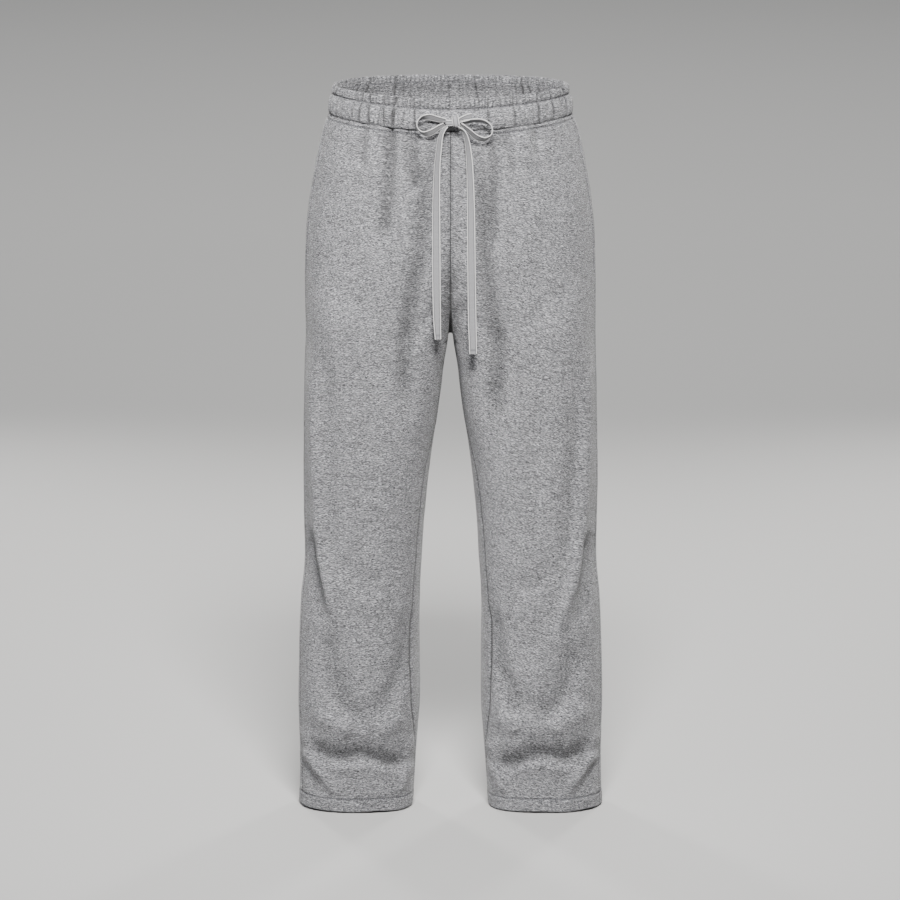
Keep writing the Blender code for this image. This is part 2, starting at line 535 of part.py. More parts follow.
def make_object(name, mesh, material):
    """Keep a mesh as one named object whose faces point outward."""
    bmesh.ops.recalc_face_normals(mesh, faces=mesh.faces)
    data = bpy.data.meshes.new(name)
    mesh.to_mesh(data)
    mesh.free()
    data.shade_smooth()
    data.set_sharp_from_angle(angle=math.radians(SHARP))
    data.materials.append(material)
    obj = bpy.data.objects.new(name, data)
    bpy.context.collection.objects.link(obj)
    return obj


def make_panel(name, side, face, material):
    mesh = bmesh.new()
    rows = {"outer": [], "inner": []}
    ats = []
    for index, (height, columns, wall) in enumerate(panel_rings(face)):
        ats.append(columns)
        for sheet, depth in (("outer", 0.0), ("inner", wall)):
            row = trimmed_row(side, face, height, columns, depth, index == 0)
            rows[sheet].append([mesh.verts.new(p) for p in row])
    close_wall(mesh, rows["outer"], rows["inner"], ats)
    return make_object(name, mesh, material)


def make_pocket_bag(name, side, material):
    """Two thin layers lying flat behind the pocket mouth, under the front panel and a little of the back."""
    mesh = bmesh.new()
    outer_at = CLOTH + BAG_GAP
    rows = {outer_at: [], outer_at + BAG_THICK: []}
    ats = []
    behind = 1.0 - 1.0 / COLUMNS["back"][0]
    for height, columns, _ in panel_rings("front"):
        forward = next((edge for low, edge in BAG_EDGE if height >= low), None)
        if forward is None or height > BAG_TOP:
            continue
        front = [c for c in columns if c >= forward - 0.001]
        ats.append(front + [2.0 - behind])
        for depth in rows:
            row = [shell_point(side, "front", height, c, depth) for c in front]
            row.append(shell_point(side, "back", height, behind, depth))
            rows[depth].append([mesh.verts.new(p) for p in row])
    close_wall(mesh, rows[outer_at], rows[outer_at + BAG_THICK], ats)
    return make_object(name, mesh, material)


def gather_stations():
    """Angles round the waistband, spaced along the cloth: a fold line and two crests to each gather."""
    draw = random.Random(GATHER_SEED)
    half_x, half_y = BAND_OVAL
    turns = [2 * math.pi * i / GATHER_PLACES for i in range(GATHER_PLACES + 1)]
    places = [(half_x * math.sin(turn), -half_y * math.cos(turn)) for turn in turns]
    run = [0.0]
    for a, b in zip(places, places[1:]):
        run.append(run[-1] + math.dist(a, b))
    stations = []
    starts = [(k + draw.uniform(-GATHER_SHIFT, GATHER_SHIFT)) / GATHERS for k in range(GATHERS)]
    for k, start in enumerate(starts):
        end = starts[k + 1] if k + 1 < GATHERS else starts[0] + 1.0
        strength = draw.uniform(*GATHER_STRENGTH)
        for share, wave in GATHER_PROFILE:
            wanted = ((start + (end - start) * share) % 1.0) * run[-1]
            index = next(i for i in range(GATHER_PLACES) if run[i + 1] >= wanted)
            part = (wanted - run[index]) / (run[index + 1] - run[index])
            stations.append(((index + part) * 360.0 / GATHER_PLACES, wave * strength))
    return sorted(stations)


def make_waistband(name, material):
    mesh = bmesh.new()
    stations = gather_stations()
    loops = []
    for lower, upper, share, out, gather in BAND_RINGS:
        loop = []
        for angle, wave in stations:
            s, c = math.sin(math.radians(angle)), math.cos(math.radians(angle))
            stand = out + gather * wave
            low, high = line_height(lower, angle), line_height(upper, angle)
            if lower == "seam":
                low += SEAM_GAP / 2
            loop.append(mesh.verts.new(((BAND_OVAL[0] + stand) * s, -(BAND_OVAL[1] + stand) * c,
                                        low + (high - low) * share)))
        loops.append(loop)
    count = len(stations)
    for k, loop in enumerate(loops):
        above = loops[(k + 1) % len(loops)]
        for i in range(count):
            j = (i + 1) % count
            mesh.faces.new((loop[i], loop[j], above[j], above[i]))
    return make_object(name, mesh, material)


def curve_through(points, share):
    """A smooth curve through rows of numbers, at a share of the way along them."""
    place = share * (len(points) - 1)
    index = min(int(place), len(points) - 2)
    t = place - index
    p1, p2 = points[index], points[index + 1]
    p0 = points[index - 1] if index > 0 else [2 * a - b for a, b in zip(p1, p2)]
    p3 = points[index + 2] if index + 2 < len(points) else [2 * b - a for a, b in zip(p1, p2)]
    return [0.5 * (2 * b + (c - a) * t + (2 * a - 5 * b + 4 * c - d) * t**2 + (3 * b - a - 3 * c + d) * t**3)
            for a, b, c, d in zip(p0, p1, p2, p3)]


def make_tape(name, route, spacing, material):
    """A flat tape along a route, six-sided in section and closed at both ends."""
    fine = [curve_through(route, i / ROUTE_STEPS) for i in range(ROUTE_STEPS + 1)]
    run = [0.0]
    for a, b in zip(fine, fine[1:]):
        run.append(run[-1] + math.dist(a[:3], b[:3]))
    count = max(round(run[-1] / spacing), 4)
    mesh = bmesh.new()
    loops = []
    for k in range(count + 1):
        index = next((i for i, gone in enumerate(run) if gone >= run[-1] * k / count), ROUTE_STEPS)
        x, y, z, breadth, tip = fine[index]
        before, after = fine[max(index - 3, 0)], fine[min(index + 3, ROUTE_STEPS)]
        along = (Vector(after[:3]) - Vector(before[:3])).normalized()
        # The near edge points forward and is tipped up, or to the side where the tape hangs down.
        forward, tipped = -math.cos(math.radians(tip)), math.sin(math.radians(tip))
        across = Vector((tipped, forward, 0.0)) if "tail" in name else Vector((0.0, forward, tipped))
        across = (across - along * across.dot(along)).normalized()
        face = along.cross(across)
        bevel = TAPE_THICK * TAPE_BEVEL
        half, thick = breadth / 2, TAPE_THICK / 2
        corners = ((-half, 0.0), (-half + bevel, -thick), (half - bevel, -thick), (half, 0.0),
                   (half - bevel, thick), (-half + bevel, thick))
        middle = Vector((x, y, z))
        loops.append([mesh.verts.new(middle + across * a + face * b) for a, b in corners])
    for loop, following in zip(loops, loops[1:]):
        for i in range(6):
            j = (i + 1) % 6
            mesh.faces.new((loop[i], loop[j], following[j], following[i]))
    mesh.faces.new(loops[0])
    mesh.faces.new(list(reversed(loops[-1])))
    return make_object(name, mesh, material)


def make_pad(name, middle, half, lean, material):
    """A plump, squarish pad that leans to the side as it rises."""
    mesh = bmesh.new()
    bmesh.ops.create_uvsphere(mesh, u_segments=14, v_segments=9, radius=1.0)
    for vert in mesh.verts:
        x, y, z = vert.co
        square = (abs(x)**3 + abs(y)**3 + abs(z)**3)**(-1.0 / 3.0)
        vert.co = (middle[0] + (half[0] * x + lean * z) * square,
                   middle[1] + half[1] * y * square,
                   middle[2] + half[2] * z * square)
    return make_object(name, mesh, material)


def make_knot(name, material):
    knot = make_pad(name, *WRAP, -0.0012, material)
    fold = make_pad(f"{name}_fold", *KNOT_FOLD, 0.0, material)
    fold.hide_render = True
    fold.display_type = "WIRE"
    join = knot.modifiers.new("join", "BOOLEAN")
    join.operation = "UNION"
    join.solver = "EXACT"
    join.object = fold
    return knot


def main():
    clear_scene()
    make_waistband("waistband", finish("waistband_fleece", FLEECE, 0.92))
    for word, side in (("left", 1), ("right", -1)):
        for face in ("front", "back"):
            name = f"{face}_leg_{word}"
            make_panel(name, side, face, finish(f"{name}_fleece", FLEECE, 0.93))
        make_pocket_bag(f"pocket_bag_{word}", side, finish(f"pocket_bag_{word}_jersey", BAG_CLOTH, 0.9))
    make_knot("drawcord_knot", finish("knot_tape", TAPE, 0.8))
    for name, route in ROUTES.items():
        spacing = TAIL_STATION if "tail" in name else STATION
        make_tape(name, route, spacing, finish(f"{name}_tape", TAPE, 0.8))


main()
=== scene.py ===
# looks of the wide-leg sweatpants: brushed heather-grey fleece, a gathered waistband and a drawcord in a bow
# metres, +Z up, the front faces -Y and the wearer's left is +X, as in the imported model
import math
import random

import bpy
import numpy as np
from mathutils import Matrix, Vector, noise
from mathutils.bvhtree import BVHTree


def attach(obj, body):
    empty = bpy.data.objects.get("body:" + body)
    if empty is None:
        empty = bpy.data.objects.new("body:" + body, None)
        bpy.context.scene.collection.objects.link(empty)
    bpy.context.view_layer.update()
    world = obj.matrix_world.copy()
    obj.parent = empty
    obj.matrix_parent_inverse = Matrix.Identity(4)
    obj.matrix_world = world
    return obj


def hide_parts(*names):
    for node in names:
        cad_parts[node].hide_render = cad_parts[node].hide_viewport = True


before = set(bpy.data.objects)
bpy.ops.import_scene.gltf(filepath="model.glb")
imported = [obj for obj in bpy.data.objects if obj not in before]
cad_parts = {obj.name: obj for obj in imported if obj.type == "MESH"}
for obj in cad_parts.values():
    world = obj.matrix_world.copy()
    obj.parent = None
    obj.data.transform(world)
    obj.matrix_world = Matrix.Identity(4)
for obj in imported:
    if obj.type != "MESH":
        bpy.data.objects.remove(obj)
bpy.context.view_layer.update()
bpy.ops.object.select_all(action="DESELECT")
print("frame loaded")

wearerSides = (("Left", 1), ("Right", -1))  # and the sign of x there

# the camera looks from straight in front and a little above, through a long lens
view = {
    "target": (0.0, 0.0, -0.5),
    "distance": 12.0,
    "elevation": 12.0,
    "lens": 335.66,
    "sensor": 36.0,
    "shift": (-0.00056, -0.00133),
    "farthest": 200.0,
}


def addCamera():
    lift = math.radians(view["elevation"])
    x, y, z = view["target"]
    place = (x, y - view["distance"] * math.cos(lift), z + view["distance"] * math.sin(lift))
    bpy.ops.object.camera_add(location=place, rotation=(math.pi / 2 - lift, 0.0, 0.0))
    camera = bpy.context.object
    camera.name = "photoView"
    camera.data.lens = view["lens"]
    camera.data.sensor_width = view["sensor"]
    camera.data.shift_x, camera.data.shift_y = view["shift"]
    camera.data.clip_end = view["farthest"]
    bpy.context.scene.camera = camera


addCamera()

# materials: a stop gives the pattern's value, then the colour there or the share of it that is left
fleeceLook = {
    # from the deepest fleck to the palest fibre: where the fleck pattern has it, and its colour
    "tones": (
        (0.36, (0.083, 0.083, 0.092)),
        (0.46, (0.200, 0.200, 0.213)),
        (0.54, (0.337, 0.337, 0.353)),
        (0.64, (0.550, 0.550, 0.566)),
    ),
    "fleckScale": (340.0, 1000.0),  # flecks to a metre, along and across the rows of knit
    "hairScale": (105.0, 1150.0),
    "hairs": ((0.0, 0.14), (0.05, 0.48), (0.10, 1.0)),  # from a hair's middle outward
    "cloudScale": (34.0, 46.0),
    "clouds": ((0.3, 0.95), (0.7, 1.05)),
    "warp": 0.0048,  # how far the rows wander
    "warpScale": 90.0,
    "slide": 3.0,  # how far the rows are slid against each other, in flecks or hairs
    "slideScale": (25.0, 520.0),
    "fleckHeight": 0.0005,
    "hairHeight": 0.0005,
    "napScale": 1300.0,
    "napHeight": 0.0003,
    "roughness": 0.95,
    "sheen": 0.25,
    "paintedSeamShade": 0.20,  # share of the colour left down in a seam, painted shade
    "paintedHollowShade": 0.56,  # and deep in a fold, painted shade
    "paintedBandLight": 1.05,  # painted light: the band's copy of the fleece is a little paler, lifting the band and its shaded inside
}
tapeLook = {
    "colour": (0.232, 0.231, 0.240),
    # painted highlight: the paler colour of the rounded edges
    "edge": (0.46, 0.455, 0.455),
    # share of the colour left in the painted shade beside the edges and between the ribs
    "groove": 0.34,
    "picks": ((0.3, 0.72), (0.7, 1.22)),
    "pickScale": (700.0, 2240.0),
    "pickHeight": 0.00012,
    "roughness": 0.78,
    "sheen": 0.2,
}
threadLook = {
    # colour and roughness
    "seamThread": ((0.20, 0.20, 0.225), 0.6),
    "darkThread": ((0.07, 0.07, 0.08), 0.6),
    # painted shade: a near-black strip for the shaded opening of each buttonhole
    "buttonholeSlitShade": ((0.035, 0.035, 0.04), 0.95),
}
twistLook = {"scale": 2600.0, "tones": ((0.35, 0.8), (0.65, 1.2)), "height": 0.0001, "sheen": 0.1}
bagLook = {
    "colour": (0.32, 0.32, 0.34),
    "tones": ((0.3, 0.85), (0.7, 1.15)),
    "knitScale": 900.0,
    "knitHeight": 0.0002,
    "roughness": 0.92,
    "sheen": 0.2,
}
finish = {"sheenRoughness": 0.45, "specular": 0.25}
white = (1.0, 1.0, 1.0)


class NodeSheet:
    # a material's node tree with short calls to add and join nodes
    def __init__(self, name):
        self.material = bpy.data.materials.new(name)
        self.material.use_nodes = True
        self.tree = self.material.node_tree
        self.shader = self.tree.nodes["Principled BSDF"]

    def add(self, kind, **values):
        node = self.tree.nodes.new(kind)
        for key, value in values.items():
            setattr(node, key, value)
        return node

    def put(self, socket, value):
        # a socket takes another node's output, a colour or a number
        if isinstance(value, bpy.types.NodeSocket):
            self.tree.links.new(value, socket)
        elif socket.type == "RGBA":
            socket.default_value = (*value, 1.0)
        else:
            socket.default_value = value

    def work(self, kind, values, out=0, **settings):
        node = self.add(kind, **settings)
        for key, value in values.items():
            self.put(node.inputs[key], value)
        return node.outputs[out]

    def uv(self):
        return self.add("ShaderNodeUVMap").outputs["UV"]

    def stretched(self, place, across, down):
        return self.work("ShaderNodeMapping", {"Vector": place, "Scale": (across, down, 1.0)})

    def noise(self, vector, scale=1.0, detail=2.0, rough=0.5, out="Fac"):
        values = {"Vector": vector, "Scale": scale, "Detail": detail, "Roughness": rough}
        return self.work("ShaderNodeTexNoise", values, out)

    def warped(self, look, across, down):
        # the UV map pushed about by a slow noise, its rows slid along at random, then stretched
        push = self.noise(self.uv(), look["warpScale"], 1.0, out="Color")
        push = self.work("ShaderNodeVectorMath", {0: push, 1: (0.5, 0.5, 0.5)}, operation="SUBTRACT")
        push = self.work("ShaderNodeVectorMath", {0: push, "Scale": look["warp"]}, operation="SCALE")
        pushed = self.work("ShaderNodeVectorMath", {0: self.uv(), 1: push}, operation="ADD")
        slide = look["slide"] / across
        rows = self.noise(self.stretched(self.uv(), *look["slideScale"]), detail=1.0)
        along = self.work("ShaderNodeMath", {0: rows, 1: slide, 2: -0.5 * slide}, operation="MULTIPLY_ADD")
        aside = self.work("ShaderNodeCombineXYZ", {"X": along})
        slid = self.work("ShaderNodeVectorMath", {0: pushed, 1: aside}, operation="ADD")
        return self.stretched(slid, across, down)

    def ramp(self, value, stops):
        node = self.add("ShaderNodeValToRGB")
        points = node.color_ramp.elements
        while len(points) < len(stops):
            points.new(0.5)
        for point, (place, colour) in zip(points, stops):
            point.position = place
            point.color = (*colour, 1.0)
        self.put(node.inputs["Fac"], value)
        return node.outputs["Color"]

    def shades(self, value, colour, stops):
        # a ramp between darker and paler shades of one colour
        return self.ramp(value, [(place, tuple(c * share for c in colour)) for place, share in stops])

    def mix(self, kind, share, first, second):
        values = {0: share, 6: first, 7: second}
        return self.work("ShaderNodeMix", values, 2, data_type="RGBA", blend_type=kind)

    def attribute(self, name):
        return self.add("ShaderNodeAttribute", attribute_name=name).outputs["Fac"]

    def darken(self, colour, name, left):
        # where the piece's attribute is 1, only this share of the colour is left
        return self.mix("MULTIPLY", self.attribute(name), colour, (left, left, left))

    def bump(self, height, strength, distance, normal=None):
        values = {"Height": height, "Strength": strength, "Distance": distance}
        if normal is not None:
            values["Normal"] = normal
        return self.work("ShaderNodeBump", values)

    def close(self, colour, roughness, normal=None, sheen=0.0):
        values = {
            "Base Color": colour,
            "Roughness": roughness,
            "Sheen Weight": sheen,
            "Sheen Roughness": finish["sheenRoughness"],
            "Specular IOR Level": finish["specular"],
        }
        if normal is not None:
            values["Normal"] = normal
        for key, value in values.items():
            self.put(self.shader.inputs[key], value)
        return self.material


def makeFleece(name, tone=1.0):
    look = fleeceLook
    sheet = NodeSheet(name)
    flecks = sheet.noise(sheet.warped(look, *look["fleckScale"]))
    tones = [(place, tuple(part * tone for part in colour)) for place, colour in look["tones"]]
    colour = sheet.ramp(flecks, tones)
    # thin dark hairs lie along the level lines of a stretched noise
    level = sheet.noise(sheet.warped(look, *look["hairScale"]))
    level = sheet.work("ShaderNodeMath", {0: level, 1: 0.5}, operation="SUBTRACT")
    away = sheet.work("ShaderNodeMath", {0: level}, operation="ABSOLUTE")
    hairs = sheet.shades(away, white, look["hairs"])
    colour = sheet.mix("MULTIPLY", 1.0, colour, hairs)
    clouds = sheet.noise(sheet.stretched(sheet.uv(), *look["cloudScale"]), 1.0, 3.0, 0.6)
    colour = sheet.mix("MULTIPLY", 1.0, colour, sheet.shades(clouds, white, look["clouds"]))
    # painted shade: seams, stitched lines and the bottoms of folds are darkened in the colour
    colour = sheet.darken(colour, "seam", look["paintedSeamShade"])
    colour = sheet.darken(colour, "hollow", look["paintedHollowShade"])
    nap = sheet.noise(sheet.stretched(sheet.uv(), look["napScale"], look["napScale"]), 0.6, 3.0, 0.65)
    normal = sheet.bump(flecks, 0.6, look["fleckHeight"])
    normal = sheet.bump(hairs, 0.6, look["hairHeight"], normal)
    normal = sheet.bump(nap, 0.4, look["napHeight"], normal)
    return sheet.close(colour, look["roughness"], normal, look["sheen"])


def makeTapeCloth(name):
    # fine picks of the weave along the tape, a painted highlight on the rounded edges, and painted shade
    # beside the edges and between the ribs
    look = tapeLook
    sheet = NodeSheet(name)
    picks = sheet.noise(sheet.stretched(sheet.uv(), *look["pickScale"]), 1.0, 2.0, 0.6)
    colour = sheet.mix("MIX", sheet.attribute("edge"), look["colour"], look["edge"])
    colour = sheet.mix("MULTIPLY", 1.0, colour, sheet.shades(picks, white, look["picks"]))
    colour = sheet.darken(colour, "groove", look["groove"])
    normal = sheet.bump(picks, 0.45, look["pickHeight"])
    return sheet.close(colour, look["roughness"], normal, look["sheen"])


def makeThread(name, colour, roughness):
    sheet = NodeSheet(name)
    place = sheet.add("ShaderNodeTexCoord").outputs["Object"]
    twist = sheet.noise(place, twistLook["scale"], 1.0)
    tone = sheet.shades(twist, colour, twistLook["tones"])
    return sheet.close(tone, roughness, sheet.bump(twist, 0.4, twistLook["height"]), twistLook["sheen"])


def makeJersey(name):
    look = bagLook
    sheet = NodeSheet(name)
    knit = sheet.noise(sheet.stretched(sheet.uv(), look["knitScale"], look["knitScale"]))
    tone = sheet.shades(knit, look["colour"], look["tones"])
    return sheet.close(tone, look["roughness"], sheet.bump(knit, 0.4, look["knitHeight"]), look["sheen"])


fleeceCloth = makeFleece("heatherFleece")
# painted light: a paler copy of the fleece for the band
bandCloth = makeFleece("heatherFleeceBand", fleeceLook["paintedBandLight"])
tapeCloth = makeTapeCloth("drawcordTape")
jerseyCloth = makeJersey("pocketJersey")
threads = {name: makeThread(name, *look) for name, look in threadLook.items()}
print("materials made")


# tools that several pieces share
def smooth(share):
    share = np.clip(share, 0.0, 1.0)
    return share * share * (3.0 - 2.0 * share)


def bell(away, reach):
    # 1 at a line, fading on both sides of it
    return np.exp(-(away / reach)**2)


def unit(vectors):
    return vectors / np.maximum(np.linalg.norm(vectors, axis=-1, keepdims=True), 1e-12)


def runAlong(points):
    # how far along a line each of its points lies
    return np.concatenate([[0.0], np.cumsum(np.linalg.norm(np.diff(points, axis=0), axis=1))])


def curveThrough(points, count):
    # a smooth line through rows of numbers
    rows = np.array(points, dtype=float)
    rows = np.vstack([2 * rows[0] - rows[1], rows, 2 * rows[-1] - rows[-2]])
    place = np.linspace(0.0, len(points) - 1.0, count)
    index = np.minimum(place.astype(int), len(points) - 2)
    t = (place - index)[:, None]
    a, b, c, d = rows[index], rows[index + 1], rows[index + 2], rows[index + 3]
    return 0.5 * (2 * b + (c - a) * t + (2 * a - 5 * b + 4 * c - d) * t**2 + (3 * b - a - 3 * c + d) * t**3)


def noiseOver(points, scale, start=(0.0, 0.0, 0.0)):
    # a slow noise, between about -1 and 1, at each of many places
    places = (points.reshape(-1, 3) * scale + start).tolist()
    return np.array([noise.noise(Vector(place)) for place in places]).reshape(points.shape[:-1])


def pickOnly(piece):
    bpy.ops.object.select_all(action="DESELECT")
    piece.select_set(True)
    bpy.context.view_layer.objects.active = piece


def editAll(piece, operator, **values):
    # one edit-mode operator on the whole piece
    pickOnly(piece)
    bpy.ops.object.mode_set(mode="EDIT")
    bpy.ops.mesh.select_all(action="SELECT")
    operator(**values)
    bpy.ops.object.mode_set(mode="OBJECT")


def mergeDoubles(piece, reach=0.000001):
    editAll(piece, bpy.ops.mesh.remove_doubles, threshold=reach)


def pointOut(piece):
    editAll(piece, bpy.ops.mesh.normals_make_consistent, inside=False)


def gridPiece(name, points, uv, material):
    # a primitive grid whose rows and columns are moved to their places
    rows, columns = points.shape[:2]
    bpy.ops.object.select_all(action="DESELECT")
    bpy.ops.mesh.primitive_grid_add(x_subdivisions=columns - 1, y_subdivisions=rows - 1, size=1.0)
    piece = bpy.context.object
    mesh = piece.data
    piece.name = mesh.name = name
    flat = np.empty(len(mesh.vertices) * 3)
    mesh.vertices.foreach_get("co", flat)
    flat = flat.reshape(-1, 3)
    column = np.rint((flat[:, 0] + 0.5) * (columns - 1)).astype(int)
    row = np.rint((flat[:, 1] + 0.5) * (rows - 1)).astype(int)
    mesh.vertices.foreach_set("co", points[row, column].ravel())
    corner = np.empty(len(mesh.loops), dtype=int)
    mesh.loops.foreach_get("vertex_index", corner)
    mesh.uv_layers[0].data.foreach_set("uv", uv[row, column][corner].ravel())
    mesh.update()
    mesh.materials.append(material)
    return piece, row, column


def setShare(piece, name, values):
    # a number between 0 and 1 on each vertex, for the materials
    layer = piece.data.attributes.new(name, "FLOAT", "POINT")
    layer.data.foreach_set("value", np.ascontiguousarray(values, dtype=float))


def addWall(piece, thickness, group=""):
    pickOnly(piece)
    wall = piece.modifiers.new("wall", "SOLIDIFY")
    wall.thickness = thickness
    wall.offset = -1.0
    wall.use_even_offset = False
    wall.vertex_group = group
    bpy.ops.object.modifier_apply(modifier="wall")


def softShade(piece, degrees=50.0):
    pickOnly(piece)
    bpy.ops.object.shade_smooth_by_angle(angle=math.radians(degrees))


def joinPieces(name, parts):
    pickOnly(parts[0])
    for part in parts:
        part.select_set(True)
    bpy.ops.object.join()
    parts[0].name = parts[0].data.name = name
    return parts[0]


def surfaceOf(piece):
    return BVHTree.FromObject(piece, bpy.context.evaluated_depsgraph_get())


# drawcord: a route's rows are x, y, height, the tape's breadth there, and how far its near edge is tipped up
cordLook = {
    "step": 0.0011,
    "finePoints": 600,
    "fewest": 8,
    "thick": 0.0013,
    "sunk": 0.0002,  # how far each face lies below the edges
    "bead": 0.00075,  # radius of the rounded edges
    "beadRise": (2.3, 0.9),  # where an edge begins to rise, and over what breadth, in beads
    "groove": (2.7, 0.85),  # painted shade beside an edge: its place and reach, in beads
    "rim": (0.80, 8),  # from this share of the half breadth outward, this many columns
    "web": (0.74, 27),
    "ribs": 9,
    # painted shade between the ribs
    "ribHeight": 0.00007,
    "ribShade": 0.4,
    "wobble": (0.00012, 900.0, 310.0),
    "end": (0.94, 0.00025, 0.0003),  # size and place of a rounded end's last ring, and the place of its tip
    "loopRight": [
        (-0.0070, -0.1148, -0.0036, 0.007, 62.0),
        (-0.0160, -0.1146, -0.0028, 0.010, 60.0),
        (-0.0285, -0.1150, 0.0006, 0.012, 56.0),
        (-0.0400, -0.1150, -0.0006, 0.012, 36.0),
        (-0.0466, -0.1146, -0.0074, 0.012, 14.0),
        (-0.0458, -0.1146, -0.0156, 0.012, 14.0),
        (-0.0385, -0.1156, -0.0224, 0.012, 34.0),
        (-0.0285, -0.1168, -0.0214, 0.012, 54.0),
        (-0.0165, -0.1184, -0.0136, 0.009, 58.0),
        (-0.0092, -0.1192, -0.0092, 0.007, 60.0),
    ],
    "loopLeft": [
        (0.0134, -0.1150, -0.0084, 0.007, 44.0),
        (0.0220, -0.1150, -0.0066, 0.009, 40.0),
        (0.0310, -0.1152, -0.0046, 0.011, 36.0),
        (0.0440, -0.1154, -0.0046, 0.012, 34.0),
        (0.0542, -0.1150, -0.0094, 0.012, 24.0),
        (0.0586, -0.1148, -0.0168, 0.012, 14.0),
        (0.0568, -0.1152, -0.0252, 0.012, 16.0),
        (0.0480, -0.1162, -0.0306, 0.012, 34.0),
        (0.0376, -0.1174, -0.0282, 0.012, 50.0),
        (0.0280, -0.1186, -0.0200, 0.010, 54.0),
        (0.0190, -0.1194, -0.0122, 0.008, 54.0),
        (0.0146, -0.1196, -0.0090, 0.006, 54.0),
    ],
    "tailRight": [
        (-0.0044, -0.1209, -0.0118, 0.006, 30.0),
        (-0.0098, -0.1214, -0.0170, 0.009, 32.0),
        (-0.0138, -0.1212, -0.0270, 0.011, 34.0),
        (-0.0162, -0.1210, -0.0440, 0.012, 38.0),
        (-0.0186, -0.1216, -0.0700, 0.012, 46.0),
        (-0.0200, -0.1234, -0.1150, 0.012, 60.0),
        (-0.0200, -0.1250, -0.1700, 0.012, 74.0),
        (-0.0198, -0.1256, -0.2300, 0.012, 82.0),
        (-0.0190, -0.1252, -0.2850, 0.011, 88.0),
        (-0.0176, -0.1248, -0.3155, 0.009, 90.0),
    ],
    "tailLeft": [
        (0.0112, -0.1200, -0.0130, 0.006, 34.0),
        (0.0182, -0.1222, -0.0182, 0.009, 36.0),
        (0.0226, -0.1218, -0.0290, 0.011, 38.0),
        (0.0252, -0.1214, -0.0460, 0.012, 42.0),
        (0.0272, -0.1218, -0.0700, 0.012, 50.0),
        (0.0286, -0.1234, -0.1150, 0.012, 62.0),
        (0.0292, -0.1252, -0.1700, 0.012, 74.0),
        (0.0298, -0.1258, -0.2300, 0.012, 82.0),
        (0.0306, -0.1254, -0.2850, 0.012, 88.0),
        (0.0320, -0.1248, -0.3365, 0.011, 90.0),
    ],
    "stubRight": [
        (-0.0288, -0.1051, -0.0015, 0.010, 90.0),
        (-0.0235, -0.1072, -0.0024, 0.009, 90.0),
        (-0.0160, -0.1084, -0.0034, 0.008, 88.0),
        (-0.0064, -0.1122, -0.0052, 0.006, 84.0),
    ],
    "stubLeft": [
        (0.0298, -0.1040, 0.0000, 0.009, 90.0),
        (0.0250, -0.1064, -0.0004, 0.009, 90.0),
        (0.0200, -0.1088, -0.0012, 0.008, 88.0),
        (0.0126, -0.1135, -0.0030, 0.006, 84.0),
    ],
}


def tapeSection(breadth):
    # once round the tape: places across and through it, how far each has the edges' painted highlight, and its
    # painted shade
    half, bead = breadth / 2, cordLook["bead"]
    (inner, rimCount), (outer, webCount) = cordLook["rim"], cordLook["web"]
    across = np.concatenate([
        np.linspace(-1.0, -inner, rimCount),
        np.linspace(-outer, outer, webCount),
        np.linspace(inner, 1.0, rimCount),
    ]) * half
    away = np.abs(across)
    ribs = np.cos(across / half * math.pi * cordLook["ribs"])
    start, run = cordLook["beadRise"]
    edge = smooth((away - (half - start * bead)) / (run * bead))
    face = cordLook["thick"] / 2 - cordLook["sunk"] + cordLook["ribHeight"] * ribs
    rounded = np.sqrt(np.maximum(bead**2 - np.clip(away - (half - bead), 0.0, bead)**2, 0.0))
    thick = np.where(away > half - bead, rounded, face * (1.0 - edge) + bead * edge)
    thick[0] = thick[-1] = 0.0
    # painted shade: a dark line beside each edge and between the ribs
    middle, reach = cordLook["groove"]
    groove = bell(away - (half - middle * bead), reach * bead)
    groove = np.maximum(groove, cordLook["ribShade"] * (0.5 - 0.5 * ribs) * (1.0 - edge))
    top = np.stack([across, thick], axis=-1)
    under = np.stack([across[::-1], -thick[::-1]], axis=-1)[1:-1]
    shares = np.stack([edge, groove], axis=-1)
    return np.vstack([top, under, top[:1]]), np.vstack([shares, shares[::-1][1:-1], shares[:1]])


def makeTape(name, route, hanging):
    fine = curveThrough(route, cordLook["finePoints"])
    run = runAlong(fine[:, :3])
    count = max(int(run[-1] / cordLook["step"]), cordLook["fewest"])
    stops = np.linspace(0.0, run[-1], count + 1)
    rows = np.stack([np.interp(stops, run, fine[:, k]) for k in range(5)], axis=-1)
    middle = rows[:, :3]
    along = unit(np.gradient(middle, axis=0))
    tip = np.radians(rows[:, 4])
    up = np.zeros((len(tip), 3))
    up[:, 0 if hanging else 2], up[:, 1] = np.sin(tip), -np.cos(tip)
    across = unit(up - along * np.sum(along * up, axis=1, keepdims=True))
    face = np.cross(along, across)
    height, fast, slow = cordLook["wobble"]
    rings, uvs, shares = [], [], []
    for k, stop in enumerate(stops):
        section, share = tapeSection(rows[k, 3])
        wobble = height * math.sin(stop * fast) * math.sin(stop * slow + 1.0)
        rings.append(middle[k] + section[:, :1] * across[k] + (section[:, 1:] + wobble) * face[k])
        uvs.append(np.stack([runAlong(section), np.full(len(section), stop)], axis=-1))
        shares.append(share)
    # both ends are closed, a little rounded
    size, out, farthest = cordLook["end"]
    for end, outward in ((0, -along[0]), (-1, along[-1])):
        near = middle[end] + (rings[end] - middle[end]) * size + outward * out
        last = np.zeros_like(near) + middle[end] + outward * farthest
        at = len(rings) if end else 0
        rings[at:at] = [near, last] if end else [last, near]
        uvs[at:at] = [uvs[end]] * 2
        shares[at:at] = [shares[end]] * 2
    piece, row, column = gridPiece(name, np.array(rings), np.array(uvs), tapeCloth)
    for k, share in enumerate(("edge", "groove")):
        setShare(piece, share, np.array(shares)[row, column, k])
    mergeDoubles(piece, 0.0000005)
    pointOut(piece)
    softShade(piece, 60.0)
    return piece, middle, stops[-1]


